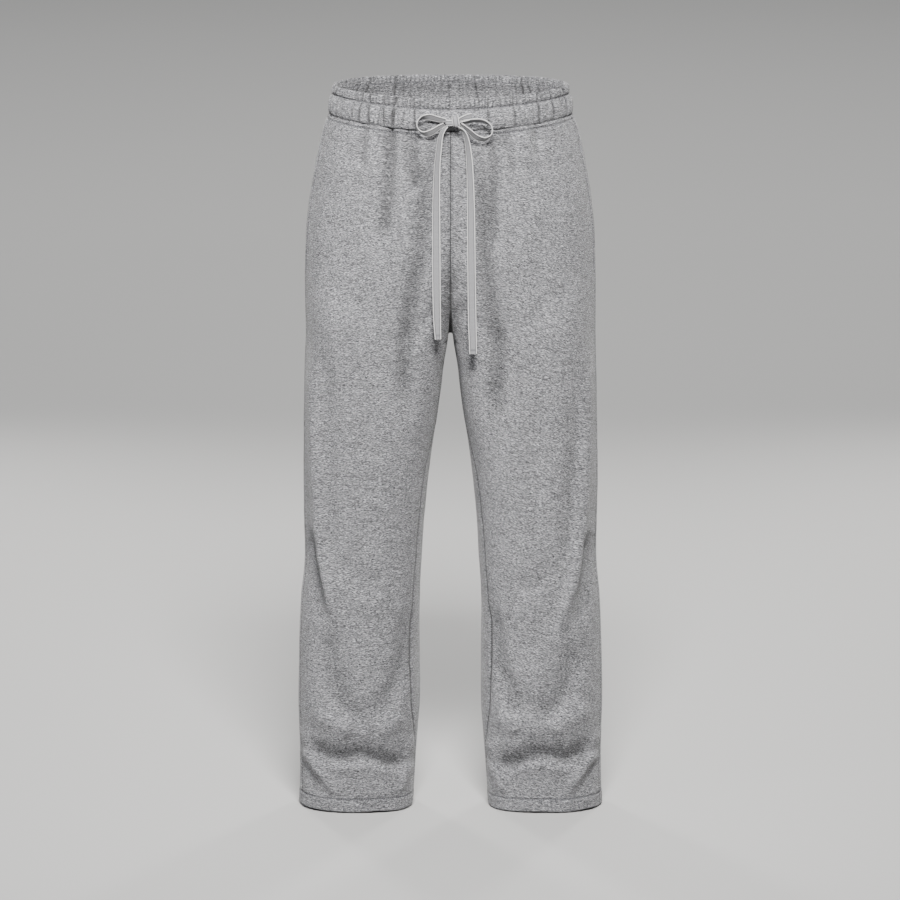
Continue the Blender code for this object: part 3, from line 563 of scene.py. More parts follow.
knotLook = {
    "wrapMiddle": (0.0072, -0.1172, -0.0050),
    "wrapHalf": (0.0054, 0.0062, 0.0084),
    "lean": -0.0012,
    "foldMiddle": (-0.0012, -0.1160, -0.0072),
    "foldHalf": (0.0060, 0.0046, 0.0046),
    "rows": 46,
    "columns": 72,
    "squareness": 3,
    "ribs": 5,
    "ribHeight": 0.00016,
    "rim": (0.80, 0.10, 0.00055),  # place and reach as shares of the half breadth, and height
    # the groove is also darkened in the colour, painted shade
    "groove": (0.55, 0.12, 0.0004),
    "paintedEdgeHighlight": (0.62, 0.16, 0.08),  # where the painted highlight on the edge begins, and its two fades
    "endways": 0.3,  # share of the relief along the ribs
}


def makePad(name, middle, half, lean, upright):
    # a plump turn of tape: square-ish, with its lengthwise ribs and raised edges
    look = knotLook
    v = np.linspace(0.0, math.pi, look["rows"])[:, None]
    u = np.linspace(0.0, 2 * math.pi, look["columns"] + 1)[None, :]
    x, y, z = np.sin(v) * np.cos(u), np.sin(v) * np.sin(u), np.cos(v) * np.ones_like(u)
    power = look["squareness"]
    square = (np.abs(x)**power + np.abs(y)**power + np.abs(z)**power)**(-1.0 / power)
    across = (x if upright else z) * square
    away = np.abs(across)
    (rimAt, rimReach, rimHeight), (grooveAt, grooveReach, grooveDepth) = look["rim"], look["groove"]
    groove = bell(away - grooveAt, grooveReach)
    relief = look["ribHeight"] * np.cos(across * math.pi * look["ribs"])
    relief = (relief + rimHeight * bell(away - rimAt, rimReach) - grooveDepth * groove) / min(half)
    inX, inZ = (look["endways"], 1.0) if upright else (1.0, look["endways"])
    points = np.stack([
        middle[0] + (half[0] * x + lean * z) * square * (1.0 + relief * inX),
        middle[1] + half[1] * y * square * (1.0 + relief),
        middle[2] + half[2] * z * square * (1.0 + relief * inZ),
    ], axis=-1)
    points[:, -1] = points[:, 0]
    uv = np.stack([across * half[0] + 0.02, np.broadcast_to(v * half[2], across.shape) + 0.02], axis=-1)
    piece, row, column = gridPiece(name, points, uv, tapeCloth)
    # painted highlight on the edges and painted shade in the groove
    start, fade, endFade = look["paintedEdgeHighlight"]
    setShare(piece, "edge", (smooth((away - start) / fade) * smooth((1.0 - away) / endFade))[row, column])
    setShare(piece, "groove", groove[row, column])
    mergeDoubles(piece)
    pointOut(piece)
    softShade(piece, 70.0)
    return piece


def makeCords():
    wrap = makePad("knotWrap", knotLook["wrapMiddle"], knotLook["wrapHalf"], knotLook["lean"], True)
    fold = makePad("knotFold", knotLook["foldMiddle"], knotLook["foldHalf"], 0.0, False)
    knot = joinPieces("drawcordKnot", [wrap, fold])
    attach(knot, "root")
    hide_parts("drawcord_knot")
    tails = {}
    for sideName, _ in wearerSides:
        low = sideName.lower()
        stub, stubLine, _ = makeTape(f"stub{sideName}", cordLook[f"stub{sideName}"], False)
        loop, loopLine, _ = makeTape(f"loop{sideName}", cordLook[f"loop{sideName}"], False)
        piece = joinPieces(f"drawcordLoop{sideName}", [loop, stub])
        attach(piece, "root")
        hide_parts(f"drawcord_loop_{low}", f"drawcord_stub_{low}")
        piece, line, length = makeTape(f"drawcordTail{sideName}", cordLook[f"tail{sideName}"], True)
        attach(piece, "root")
        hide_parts(f"drawcord_tail_{low}")
        tails[sideName] = piece
        print(f"drawcordTail{sideName}: {length:.4f} m")
    return tails


tails = makeCords()
print("drawcord made")


# the garment's form: rings from the same tables as its solids, and folds on the same runs
form = {
    "cloth": 0.0018,
    "hemEdge": -1.020,
    "crotch": -0.3305,
    "crotchY": 0.008,
    "split": -0.275,
    "legShaping": -0.215,
    "lipSpread": 40.0,
    "turnSharpness": 4,
    "groove": 0.004,
    "waistDip": 0.11,
    "outerSquareness": 2.3,
    "foldFade": 0.20,
    "foldWrap": (0.15, 1.2),
    "foldReach": 3.2,  # past this many breadths a fold is nothing
    "pocketTop": -0.062,
    "pocketBottom": -0.226,
    "pocketMouth": 0.0017,
}
# lines around the waist: height at the side, at the centre front and at the centre back
waistLines = {
    "rim": (0.0285, 0.0235, 0.0255),
    "header": (0.0162, 0.0087, 0.0157),
    "seam": (-0.0120, -0.0208, -0.0125),
}
# hip sections: height, half breadth, depth forward, depth backward, squareness
hips = [
    (-0.0120, 0.1720, 0.1052, 0.1052, 2.00),
    (-0.0300, 0.1797, 0.1075, 0.1085, 2.06),
    (-0.0530, 0.1858, 0.1105, 0.1140, 2.12),
    (-0.0980, 0.1950, 0.1155, 0.1255, 2.22),
    (-0.1645, 0.2039, 0.1200, 0.1385, 2.33),
    (-0.2108, 0.2063, 0.1208, 0.1420, 2.38),
    (-0.2750, 0.2072, 0.1185, 0.1390, 2.45),
    (-0.3305, 0.2067, 0.1150, 0.1330, 2.50),
]
# leg sections: height, outermost x, innermost x, depth forward and backward, inner squareness, inseam's angle
legs = [
    (-0.2350, 0.2068, 0.0035, 0.1145, 0.1340, 5.0, 90.0),
    (-0.2850, 0.2070, 0.0035, 0.1120, 0.1300, 5.0, 90.0),
    (-0.3305, 0.2067, 0.0035, 0.1085, 0.1250, 5.0, 90.0),
    (-0.3705, 0.2076, 0.0094, 0.1055, 0.1200, 4.2, 86.0),
    (-0.4287, 0.2088, 0.0160, 0.1012, 0.1130, 3.3, 74.0),
    (-0.5164, 0.2103, 0.0292, 0.0945, 0.1035, 2.7, 62.0),
    (-0.6000, 0.2102, 0.0370, 0.0880, 0.0955, 2.4, 60.0),
    (-0.6630, 0.2094, 0.0413, 0.0840, 0.0908, 2.4, 59.0),
    (-0.7145, 0.2139, 0.0439, 0.0805, 0.0880, 2.4, 58.0),
    (-0.7957, 0.2175, 0.0441, 0.0765, 0.0840, 2.4, 55.5),
    (-0.8696, 0.2185, 0.0442, 0.0725, 0.0800, 2.5, 55.0),
    (-0.9289, 0.2171, 0.0483, 0.0700, 0.0765, 2.6, 68.0),
    (-0.9883, 0.2172, 0.0522, 0.0655, 0.0715, 2.7, 78.0),
    (-1.0200, 0.2180, 0.0548, 0.0620, 0.0680, 2.8, 80.0),
]
# side seam: height and angle round from the front
sideSeam = [(-0.012, 80.0), (-0.150, 79.0), (-0.330, 77.0), (-0.600, 74.0), (-0.900, 72.0), (-1.020, 69.0)]
# folds of each face: ridge height (a trough is negative), half breadth to the left and to the right of its run
# as seen from the front, and the route as x and height
folds = {
    "front": [
        # soft folds that run down from the gathers
        (-0.0048, 0.006, 0.006, ((-0.1240, -0.004), (-0.1261, -0.050), (-0.1275, -0.082))),
        (0.0024, 0.010, 0.010, ((-0.1050, -0.010), (-0.1070, -0.105))),
        (-0.0078, 0.008, 0.008, ((-0.0840, -0.004), (-0.0866, -0.077), (-0.0908, -0.129),
            (-0.0975, -0.190))),
        (-0.0072, 0.010, 0.009, ((-0.0612, -0.004), (-0.0556, -0.048), (-0.0480, -0.110))),
        (-0.0036, 0.007, 0.007, ((-0.0232, -0.004), (-0.0250, -0.105))),
        (-0.0036, 0.007, 0.007, ((0.0274, -0.004), (0.0302, -0.100))),
        (-0.0056, 0.008, 0.008, ((0.0654, -0.004), (0.0654, -0.093), (0.0612, -0.146), (0.0669, -0.195))),
        (-0.0044, 0.007, 0.007, ((0.0780, -0.004), (0.0850, -0.050), (0.0960, -0.090))),
        (0.0022, 0.010, 0.010, ((0.1040, -0.010), (0.1090, -0.080))),
        (-0.0038, 0.005, 0.006, ((0.1215, -0.004), (0.1247, -0.066))),
        # hollows either side of the fly line, down over the inner thigh
        (-0.0078, 0.012, 0.014, ((-0.0340, -0.035), (-0.0373, -0.146), (-0.0416, -0.198),
            (-0.0500, -0.239), (-0.0572, -0.290), (-0.0629, -0.349), (-0.0617, -0.400), (-0.0620, -0.450))),
        (-0.0078, 0.014, 0.012, ((0.0400, -0.030), (0.0443, -0.092), (0.0486, -0.146), (0.0514, -0.199),
            (0.0585, -0.254), (0.0628, -0.290), (0.0700, -0.345), (0.0658, -0.408), (0.0660, -0.480))),
        # long ridges down the outer thigh and across the knee, with a trough inside and a hollow outside
        (0.0070, 0.010, 0.010, ((-0.2015, -0.319), (-0.1962, -0.424), (-0.1893, -0.532),
            (-0.1853, -0.627), (-0.1790, -0.660), (-0.1704, -0.698), (-0.1648, -0.727), (-0.1570, -0.780))),
        (0.0070, 0.010, 0.010, ((0.1980, -0.315), (0.1927, -0.477), (0.1859, -0.585), (0.1803, -0.640),
            (0.1747, -0.676), (0.1661, -0.705), (0.1591, -0.740), (0.1520, -0.790))),
        (-0.0032, 0.014, 0.011, ((-0.1776, -0.300), (-0.1751, -0.411), (-0.1741, -0.528),
            (-0.1690, -0.617), (-0.1600, -0.690))),
        (-0.0034, 0.011, 0.014, ((0.1815, -0.400), (0.1771, -0.566), (0.1670, -0.665))),
        (-0.0046, 0.010, 0.012, ((-0.1960, -0.600), (-0.1950, -0.650), (-0.1905, -0.700),
            (-0.1850, -0.745))),
        (-0.0044, 0.012, 0.010, ((0.1955, -0.605), (0.1945, -0.655), (0.1900, -0.700), (0.1840, -0.750))),
        # troughs that meet in a V over the shin
        (-0.0052, 0.019, 0.016, ((-0.1800, -0.745), (-0.1637, -0.815), (-0.1509, -0.852),
            (-0.1338, -0.877), (-0.1080, -0.892))),
        (-0.0048, 0.016, 0.019, ((0.1790, -0.765), (0.1651, -0.823), (0.1538, -0.849), (0.1381, -0.874),
            (0.1180, -0.888))),
        (-0.0046, 0.014, 0.014, ((-0.0621, -0.715), (-0.0678, -0.792), (-0.0779, -0.825),
            (-0.0908, -0.852), (-0.1060, -0.885))),
        (-0.0050, 0.014, 0.014, ((0.0592, -0.710), (0.0679, -0.800), (0.0793, -0.829), (0.0937, -0.856),
            (0.1138, -0.885))),
        # above each hem: the puffs, the wavy break, the roll under it, and the curls and hollows at its ends
        (0.0052, 0.014, 0.016, ((-0.2015, -0.872), (-0.1797, -0.880), (-0.1582, -0.890),
            (-0.1380, -0.902))),
        (0.0052, 0.014, 0.016, ((0.1380, -0.900), (0.1596, -0.887), (0.1812, -0.876), (0.2029, -0.870))),
        (0.0046, 0.012, 0.014, ((-0.1040, -0.902), (-0.0860, -0.890), (-0.0680, -0.878))),
        (0.0046, 0.012, 0.014, ((0.0640, -0.878), (0.0766, -0.884), (0.1000, -0.900))),
        (-0.0100, 0.018, 0.007, ((-0.2230, -0.929), (-0.2040, -0.931), (-0.1842, -0.937),
            (-0.1655, -0.940), (-0.1497, -0.938), (-0.1339, -0.935), (-0.1196, -0.937),
            (-0.1010, -0.943), (-0.0796, -0.950), (-0.0440, -0.948))),
        (-0.0100, 0.018, 0.007, ((0.0430, -0.947), (0.0782, -0.952), (0.0968, -0.946), (0.1168, -0.936),
            (0.1354, -0.934), (0.1497, -0.937), (0.1655, -0.942), (0.1814, -0.938), (0.2230, -0.930))),
        (0.0018, 0.007, 0.012, ((-0.1950, -0.948), (-0.1580, -0.953), (-0.1150, -0.952),
            (-0.0720, -0.965))),
        (0.0018, 0.007, 0.012, ((0.0680, -0.965), (0.1140, -0.952), (0.1570, -0.953), (0.1950, -0.948))),
        (0.0044, 0.008, 0.008, ((-0.2120, -0.900), (-0.2032, -0.944), (-0.1902, -0.960),
            (-0.1758, -0.974), (-0.1600, -1.000))),
        (0.0044, 0.008, 0.008, ((0.2120, -0.900), (0.2018, -0.943), (0.1887, -0.960), (0.1772, -0.975),
            (0.1640, -1.000))),
        (-0.0024, 0.010, 0.010, ((-0.2085, -0.945), (-0.1990, -0.973), (-0.1850, -1.003))),
        (-0.0024, 0.010, 0.010, ((0.2085, -0.945), (0.1990, -0.973), (0.1850, -1.003))),
        (0.0034, 0.008, 0.008, ((-0.0552, -0.910), (-0.0595, -0.955), (-0.0682, -0.977),
            (-0.0800, -1.000))),
        (0.0034, 0.008, 0.008, ((0.0552, -0.910), (0.0610, -0.955), (0.0696, -0.977), (0.0800, -1.000))),
    ],
    "back": [
        # soft folds that run down from the gathers
        (-0.0026, 0.009, 0.009, ((-0.1180, -0.010), (-0.1210, -0.100))),
        (-0.0022, 0.008, 0.008, ((-0.0780, -0.010), (-0.0800, -0.080))),
        (-0.0030, 0.010, 0.010, ((-0.0340, -0.010), (-0.0380, -0.130))),
        (-0.0024, 0.008, 0.008, ((0.0300, -0.010), (0.0320, -0.085))),
        (-0.0030, 0.010, 0.010, ((0.0720, -0.010), (0.0760, -0.120))),
        (-0.0024, 0.009, 0.009, ((0.1160, -0.010), (0.1200, -0.070))),
        # behind: under the seat, down the thigh, behind the knee, over the calf and above the hem
        (-0.0042, 0.016, 0.010, ((-0.1850, -0.318), (-0.1300, -0.345), (-0.0800, -0.347),
            (-0.0350, -0.330))),
        (-0.0042, 0.016, 0.010, ((0.0370, -0.328), (0.0850, -0.346), (0.1340, -0.343), (0.1880, -0.314))),
        (0.0044, 0.016, 0.016, ((-0.1750, -0.380), (-0.1300, -0.440), (-0.1080, -0.540))),
        (0.0044, 0.016, 0.016, ((0.1720, -0.370), (0.1300, -0.445), (0.1100, -0.555))),
        (-0.0050, 0.014, 0.009, ((-0.1950, -0.622), (-0.1500, -0.640), (-0.1050, -0.650),
            (-0.0620, -0.628))),
        (-0.0050, 0.014, 0.009, ((0.0640, -0.640), (0.1100, -0.655), (0.1550, -0.641), (0.1930, -0.616))),
        (0.0050, 0.013, 0.013, ((-0.1900, -0.690), (-0.1720, -0.760), (-0.1450, -0.840),
            (-0.1150, -0.885))),
        (0.0050, 0.013, 0.013, ((0.1880, -0.700), (0.1700, -0.770), (0.1430, -0.838), (0.1160, -0.882))),
        (-0.0038, 0.012, 0.012, ((-0.0640, -0.730), (-0.0760, -0.810), (-0.1000, -0.870))),
        (-0.0038, 0.012, 0.012, ((0.0630, -0.745), (0.0770, -0.820), (0.0990, -0.872))),
        (-0.0085, 0.013, 0.007, ((-0.2030, -0.908), (-0.1700, -0.925), (-0.1350, -0.931),
            (-0.1000, -0.921), (-0.0620, -0.926))),
        (-0.0085, 0.013, 0.007, ((0.0600, -0.934), (0.0980, -0.922), (0.1350, -0.932), (0.1680, -0.930),
            (0.2040, -0.910))),
        (0.0034, 0.008, 0.014, ((-0.1900, -0.935), (-0.1350, -0.950), (-0.0750, -0.944))),
        (0.0034, 0.008, 0.014, ((0.0750, -0.950), (0.1350, -0.952), (0.1900, -0.936))),
    ],
}
# finer creases and dents that only the dressed cloth has, written as the folds are
creases = {
    "front": [
        (0.0026, 0.005, 0.007, ((0.0060, -0.030), (0.0070, -0.100), (0.0080, -0.165))),
        (-0.0026, 0.007, 0.004, ((-0.0070, -0.030), (-0.0075, -0.100), (-0.0080, -0.180))),
        (-0.0030, 0.014, 0.014, ((0.0020, -0.150), (0.0020, -0.205), (0.0020, -0.262))),
        (-0.0011, 0.006, 0.008, ((-0.1520, -0.030), (-0.1420, -0.075), (-0.1260, -0.120))),
        (0.0010, 0.009, 0.012, ((-0.1400, -0.110), (-0.1050, -0.170), (-0.0820, -0.250))),
        (-0.0013, 0.010, 0.014, ((-0.1750, -0.235), (-0.1300, -0.262), (-0.0950, -0.300))),
        (0.0012, 0.010, 0.012, ((0.1420, -0.105), (0.1090, -0.165), (0.0880, -0.235))),
        (-0.0014, 0.012, 0.010, ((0.1760, -0.240), (0.1330, -0.270), (0.1000, -0.315))),
        (-0.0016, 0.008, 0.010, ((-0.0120, -0.262), (-0.0420, -0.300), (-0.0800, -0.330))),
        (-0.0017, 0.008, 0.010, ((0.0120, -0.258), (0.0450, -0.296), (0.0860, -0.334))),
        (0.0013, 0.008, 0.008, ((-0.0100, -0.285), (-0.0360, -0.322), (-0.0700, -0.360))),
        (0.0013, 0.008, 0.008, ((0.0100, -0.287), (0.0380, -0.326), (0.0740, -0.366))),
        (-0.0016, 0.012, 0.016, ((-0.1300, -0.360), (-0.1180, -0.450), (-0.1120, -0.560))),
        (0.0014, 0.016, 0.016, ((-0.0980, -0.400), (-0.0900, -0.500), (-0.0930, -0.610))),
        (-0.0015, 0.014, 0.012, ((0.1330, -0.380), (0.1200, -0.470), (0.1160, -0.590))),
        (0.0014, 0.016, 0.016, ((0.0990, -0.410), (0.0930, -0.520), (0.0960, -0.620))),
        (-0.0018, 0.010, 0.014, ((-0.1600, -0.640), (-0.1250, -0.668), (-0.0900, -0.672))),
        (-0.0016, 0.010, 0.014, ((0.1560, -0.650), (0.1220, -0.680), (0.0880, -0.684))),
        (0.0015, 0.012, 0.014, ((-0.1480, -0.690), (-0.1180, -0.712), (-0.0820, -0.706))),
        (0.0014, 0.012, 0.014, ((0.1440, -0.702), (0.1150, -0.722), (0.0800, -0.716))),
        (-0.0013, 0.008, 0.010, ((-0.1980, -0.792), (-0.1760, -0.826), (-0.1560, -0.866))),
        (-0.0013, 0.008, 0.010, ((0.2000, -0.786), (0.1780, -0.822), (0.1590, -0.864))),
        (0.0013, 0.009, 0.009, ((-0.1180, -0.770), (-0.1150, -0.820), (-0.1120, -0.866))),
        (0.0012, 0.009, 0.009, ((0.1220, -0.766), (0.1190, -0.818), (0.1150, -0.862))),
        (-0.0014, 0.006, 0.008, ((-0.1500, -0.905), (-0.1280, -0.910), (-0.1060, -0.906))),
        (-0.0013, 0.006, 0.008, ((0.1020, -0.904), (0.1260, -0.909), (0.1500, -0.903))),
        (-0.0011, 0.006, 0.006, ((-0.1460, -0.948), (-0.1400, -0.968), (-0.1380, -0.990))),
        (-0.0011, 0.006, 0.006, ((0.1300, -0.950), (0.1340, -0.970), (0.1330, -0.992))),
        (-0.0010, 0.006, 0.006, ((-0.1000, -0.955), (-0.0980, -0.975), (-0.1010, -0.995))),
        (-0.0010, 0.006, 0.006, ((0.0960, -0.958), (0.0990, -0.978), (0.0980, -0.996))),
    ],
    "back": [
        (-0.0016, 0.010, 0.012, ((-0.0120, -0.250), (-0.0460, -0.296), (-0.0880, -0.326))),
        (-0.0016, 0.010, 0.012, ((0.0120, -0.246), (0.0480, -0.292), (0.0900, -0.322))),
        (0.0014, 0.012, 0.014, ((-0.1500, -0.130), (-0.1200, -0.200), (-0.0800, -0.280))),
        (0.0013, 0.012, 0.014, ((0.1480, -0.120), (0.1160, -0.195), (0.0780, -0.270))),
        (-0.0015, 0.012, 0.012, ((-0.0700, -0.400), (-0.0900, -0.480), (-0.1000, -0.570))),
        (-0.0015, 0.012, 0.012, ((0.0720, -0.410), (0.0900, -0.490), (0.1020, -0.580))),
        (0.0016, 0.012, 0.012, ((-0.1700, -0.665), (-0.1250, -0.680), (-0.0750, -0.668))),
        (0.0016, 0.012, 0.012, ((0.0760, -0.672), (0.1240, -0.684), (0.1700, -0.664))),
        (-0.0014, 0.009, 0.009, ((-0.1300, -0.740), (-0.1240, -0.800), (-0.1160, -0.850))),
        (-0.0014, 0.009, 0.009, ((0.1280, -0.748), (0.1220, -0.806), (0.1160, -0.852))),
    ],
}
# the cloth above a hem slumps over its break: the height lost, and how far above and below that reaches
slump = {"deepest": -0.008, "drop": 0.0030, "above": (0.004, 0.011), "below": 0.0035}
foldBoost = 1.35  # the cloth's folds against the depths in the tables


def readTable(table, column, height):
    rows = np.array(table[::-1], dtype=float)
    at, value = rows[:, 0], rows[:, column]
    slope = np.empty_like(value)
    slope[1:-1] = (value[2:] - value[:-2]) / (at[2:] - at[:-2])
    slope[0] = (value[1] - value[0]) / (at[1] - at[0])
    slope[-1] = (value[-1] - value[-2]) / (at[-1] - at[-2])
    height = np.clip(height, at[0], at[-1])
    index = np.clip(np.searchsorted(at, height) - 1, 0, len(at) - 2)
    span = at[index + 1] - at[index]
    t = (height - at[index]) / span
    return ((2 * t**3 - 3 * t**2 + 1) * value[index] + (t**3 - 2 * t**2 + t) * span * slope[index]
            + (3 * t**2 - 2 * t**3) * value[index + 1] + (t**3 - t**2) * span * slope[index + 1])


def lineHeight(name, degrees):
    side, front, back = waistLines[name]
    turn = np.cos(np.radians(degrees))
    return side + (front - side) * np.maximum(turn, 0.0)**3 + (back - side) * np.maximum(-turn, 0.0)**3


def oval(halfX, front, back, outerPower, innerPower, degrees):
    s, c = np.sin(np.radians(degrees)), np.cos(np.radians(degrees))
    power = outerPower + (innerPower - outerPower) * (1.0 - s) / 2.0
    reach = (np.abs(s)**power + np.abs(c)**power)**(-1.0 / power)
    return halfX * reach * s, -np.where(c > 0, front, back) * reach * c


def legPoint(height, degrees):
    outer, inner = readTable(legs, 1, height), readTable(legs, 2, height)
    front = readTable(legs, 3, height) + form["crotchY"]
    back = readTable(legs, 4, height) - form["crotchY"]
    innerSquareness = readTable(legs, 5, height)
    x, y = oval((outer - inner) / 2, front, back, form["outerSquareness"], innerSquareness, degrees)
    return (outer + inner) / 2 + x, form["crotchY"] + y


def basePoint(face, height, column):
    # the smooth form of the half with x >= 0; column 1 is the side seam, 0 the turn or centre, -1 the inseam
    height, column = np.broadcast_arrays(np.asarray(height, float), np.asarray(column, float))
    sideAngle, inseam = readTable(sideSeam, 1, height), readTable(legs, 6, height)
    above = height > form["crotch"]
    if face == "front":
        hipStart, lip, end = 0.0, -inseam + form["lipSpread"], -inseam
    else:
        hipStart = 180.0
        end = np.where(above, 270.0, 360.0 - inseam)
        lip = end - form["lipSpread"]
    sunk = np.maximum((height - form["crotch"]) / (form["split"] - form["crotch"]), 0.0)
    part = np.maximum(column, 0.0)
    turn = hipStart + (sideAngle - hipStart) * part
    legX, legY = legPoint(height, lip + (sideAngle - lip) * part)
    halfX, front, back, power = (readTable(hips, k, height) for k in (1, 2, 3, 4))
    hipX, hipY = oval(halfX, front, back, power, power, turn)
    turnX, turnY = legPoint(height, lip)
    # the hip's ring turns into the leg's, and its centre sinks to the crotch
    legShare = smooth((form["legShaping"] - height) / (form["legShaping"] - form["crotch"]))
    wanted = turnX * np.sqrt(np.maximum(1.0 - sunk, 0.0))
    x = hipX + (legX - hipX) * legShare - (turnX * legShare - wanted) * (1.0 - part)**form["turnSharpness"]
    x = np.where(above, x, legX)
    y = np.where(above, hipY + (legY - hipY) * legShare, legY)
    # the strip between the thighs, rounded in to its seam
    stripX, stripY = legPoint(height, lip + (end - lip) * np.maximum(-column, 0.0))
    depth = 1.0 - np.sqrt(np.maximum(1.0 - (1.0 - np.minimum(sunk, 1.0))**2, 0.0))
    run = (stripY - turnY) * depth
    toSeam = np.abs((legPoint(height, end)[1] - turnY) * depth - run)
    rounding = np.sqrt(1.0 - (1.0 - np.minimum(toSeam / form["groove"], 1.0))**2)
    held = np.where(above, 1.0, np.exp(np.minimum(height - form["crotch"], 0.0) / (form["groove"] / 2)))
    held = np.where(height > form["crotch"] - 2 * form["groove"], held, 0.0)
    onStrip = (column < 0) & (sunk < 1.0)
    x = np.where(onStrip, np.where(above, x * stripX / turnX, stripX) * (1.0 - held * (1.0 - rounding)), x)
    y = np.where(onStrip, y + run, y)
    drop = smooth(1.0 - (waistLines["seam"][0] - height) / form["waistDip"])
    z = height + (lineHeight("seam", turn) - waistLines["seam"][0]) * drop
    return np.stack([x, y, z], axis=-1)


def baseNormal(face, height, column):
    aside, down = 0.004, 0.001
    along = basePoint(face, height, np.minimum(column + aside, 1.0))
    along = along - basePoint(face, height, np.maximum(column - aside, -1.0))
    top = np.minimum(height + down, waistLines["seam"][0])
    bottom = np.maximum(height - down, form["hemEdge"])
    normal = unit(np.cross(along, basePoint(face, top, column) - basePoint(face, bottom, column)))
    return normal if face == "front" else -normal


def foldHeight(face, x, z):
    # how far the folds of one face lift the cloth, and how far it slumps downward over a break
    lift, fall = np.zeros_like(x), np.zeros_like(x)
    for height, left, right, route in folds[face] + creases[face]:
        reach = form["foldReach"] * max(left, right)
        xs, zs = [p[0] for p in route], [p[1] for p in route]
        near = (x > min(xs) - reach) & (x < max(xs) + reach) & (z > min(zs) - reach) & (z < max(zs) + reach)
        if not near.any():
            continue
        px, pz = x[near], z[near]
        best, at, gone = np.full(px.shape, np.inf), np.zeros(px.shape), 0.0
        above = np.zeros(px.shape, dtype=bool)
        line = curveThrough(route, 6 * (len(route) - 1) + 1)
        for (ax, az), (bx, bz) in zip(line, line[1:]):
            length = math.hypot(bx - ax, bz - az)
            share = np.clip(((px - ax) * (bx - ax) + (pz - az) * (bz - az)) / length**2, 0.0, 1.0)
            away = np.hypot(px - ax - share * (bx - ax), pz - az - share * (bz - az))
            closer = away < best
            above = np.where(closer, (bx - ax) * (pz - az) - (bz - az) * (px - ax) > 0, above)
            at = np.where(closer, gone + share * length, at)
            best = np.where(closer, away, best)
            gone += length
        fade = gone * form["foldFade"]
        ends = smooth((gone - at) / fade)
        if route[0][1] <= waistLines["seam"][0]:
            ends = ends * smooth(at / fade)
        lift[near] += foldBoost * height * bell(best, np.where(above, left, right)) * ends
        if height <= slump["deepest"]:
            start, reach = slump["above"]
            over = np.where(above, bell(best - start, reach), bell(best, slump["below"]))
            fall[near] += slump["drop"] * over * ends
    return lift, fall


# the band's elastic draws the cloth into gathers, which run on into the panels
gathers = {
    "count": 66,
    "seed": 11,
    "ownSeed": 5,
    "shift": 0.28,  # how far a gather strays from even spacing, as a share of it
    "strength": (0.45, 1.25),
    "tilt": 0.0026,
    "trail": (0.006, 0.034),  # how far gathers run on down the panels
    "creases": (0.3, 0.55, 0.8, 1.2, 2.0),
    "halves": (0.0, 0.0, 0.5, 0.9),  # how deep the crease is in a gather's middle
    "crease": 0.0024,  # breadth of the crease between two gathers
    "sharpness": 1.4,
    "puff": (0.6, 0.7),  # a gather's height and roundness
    "half": (0.45, 0.12),
    "oval": (0.1653, 0.0985),
    "roundPoints": 1441,
    "ruffles": 151,
    "ruffleDrift": (2.2, 17.0),
    "ruffleDepth": 0.0008,
    # where the front's gathers are stronger or weaker: from, to, and how much
    "bunches": (
        (-0.140, -0.040, 1.7),
        (-0.040, 0.070, 0.7),
        (0.070, 0.092, 1.8),
        (0.092, 0.114, 0.5),
        (0.114, 0.130, 1.8),
    ),
    "bunchHalf": 3.4,
    "front": 0.2,
}


def planGathers():
    # where each gather starts round the band, how strong it is, and what is its own in each
    draw, own = random.Random(gathers["seed"]), random.Random(gathers["ownSeed"])
    count, shift, tilt = gathers["count"], gathers["shift"], gathers["tilt"]
    turns = np.linspace(0.0, 2 * math.pi, gathers["roundPoints"])
    x, y = gathers["oval"][0] * np.sin(turns), -gathers["oval"][1] * np.cos(turns)
    run = np.concatenate([[0.0], np.cumsum(np.hypot(np.diff(x), np.diff(y)))])
    starts = [(k + draw.uniform(-shift, shift)) / count for k in range(count)]
    strength = [draw.uniform(*gathers["strength"]) for k in range(count)]
    plan = {
        "turns": np.degrees(turns),
        "run": run / run[-1],
        "length": run[-1],
        "starts": np.array(starts + [starts[0] + 1.0]),
        "strength": np.array(strength + [strength[0]]),
        "tilt": np.array([own.uniform(-tilt, tilt) for k in range(count)]),
        "crease": np.array([own.choice(gathers["creases"]) for k in range(count)]),
        "trail": np.array([own.uniform(*gathers["trail"]) for k in range(count)]),
        "half": np.array([own.choice(gathers["halves"]) for k in range(count)]),
    }
    # the strongest creases of the front are bunched where the cord draws it together
    startTurns = np.interp(plan["starts"][:-1], plan["run"], turns)
    startX, onFront = gathers["oval"][0] * np.sin(startTurns), np.cos(startTurns) > gathers["front"]
    for low, high, factor in gathers["bunches"]:
        inBunch = onFront & (startX > low) & (startX < high)
        plan["crease"] = np.where(inBunch, plan["crease"] * factor, plan["crease"])
        if factor > 1.0:
            plan["half"] = np.where(inBunch, gathers["bunchHalf"], plan["half"])
    for key in ("tilt", "crease", "trail"):
        plan[key] = np.append(plan[key], plan[key][0])
    return plan


plan = planGathers()


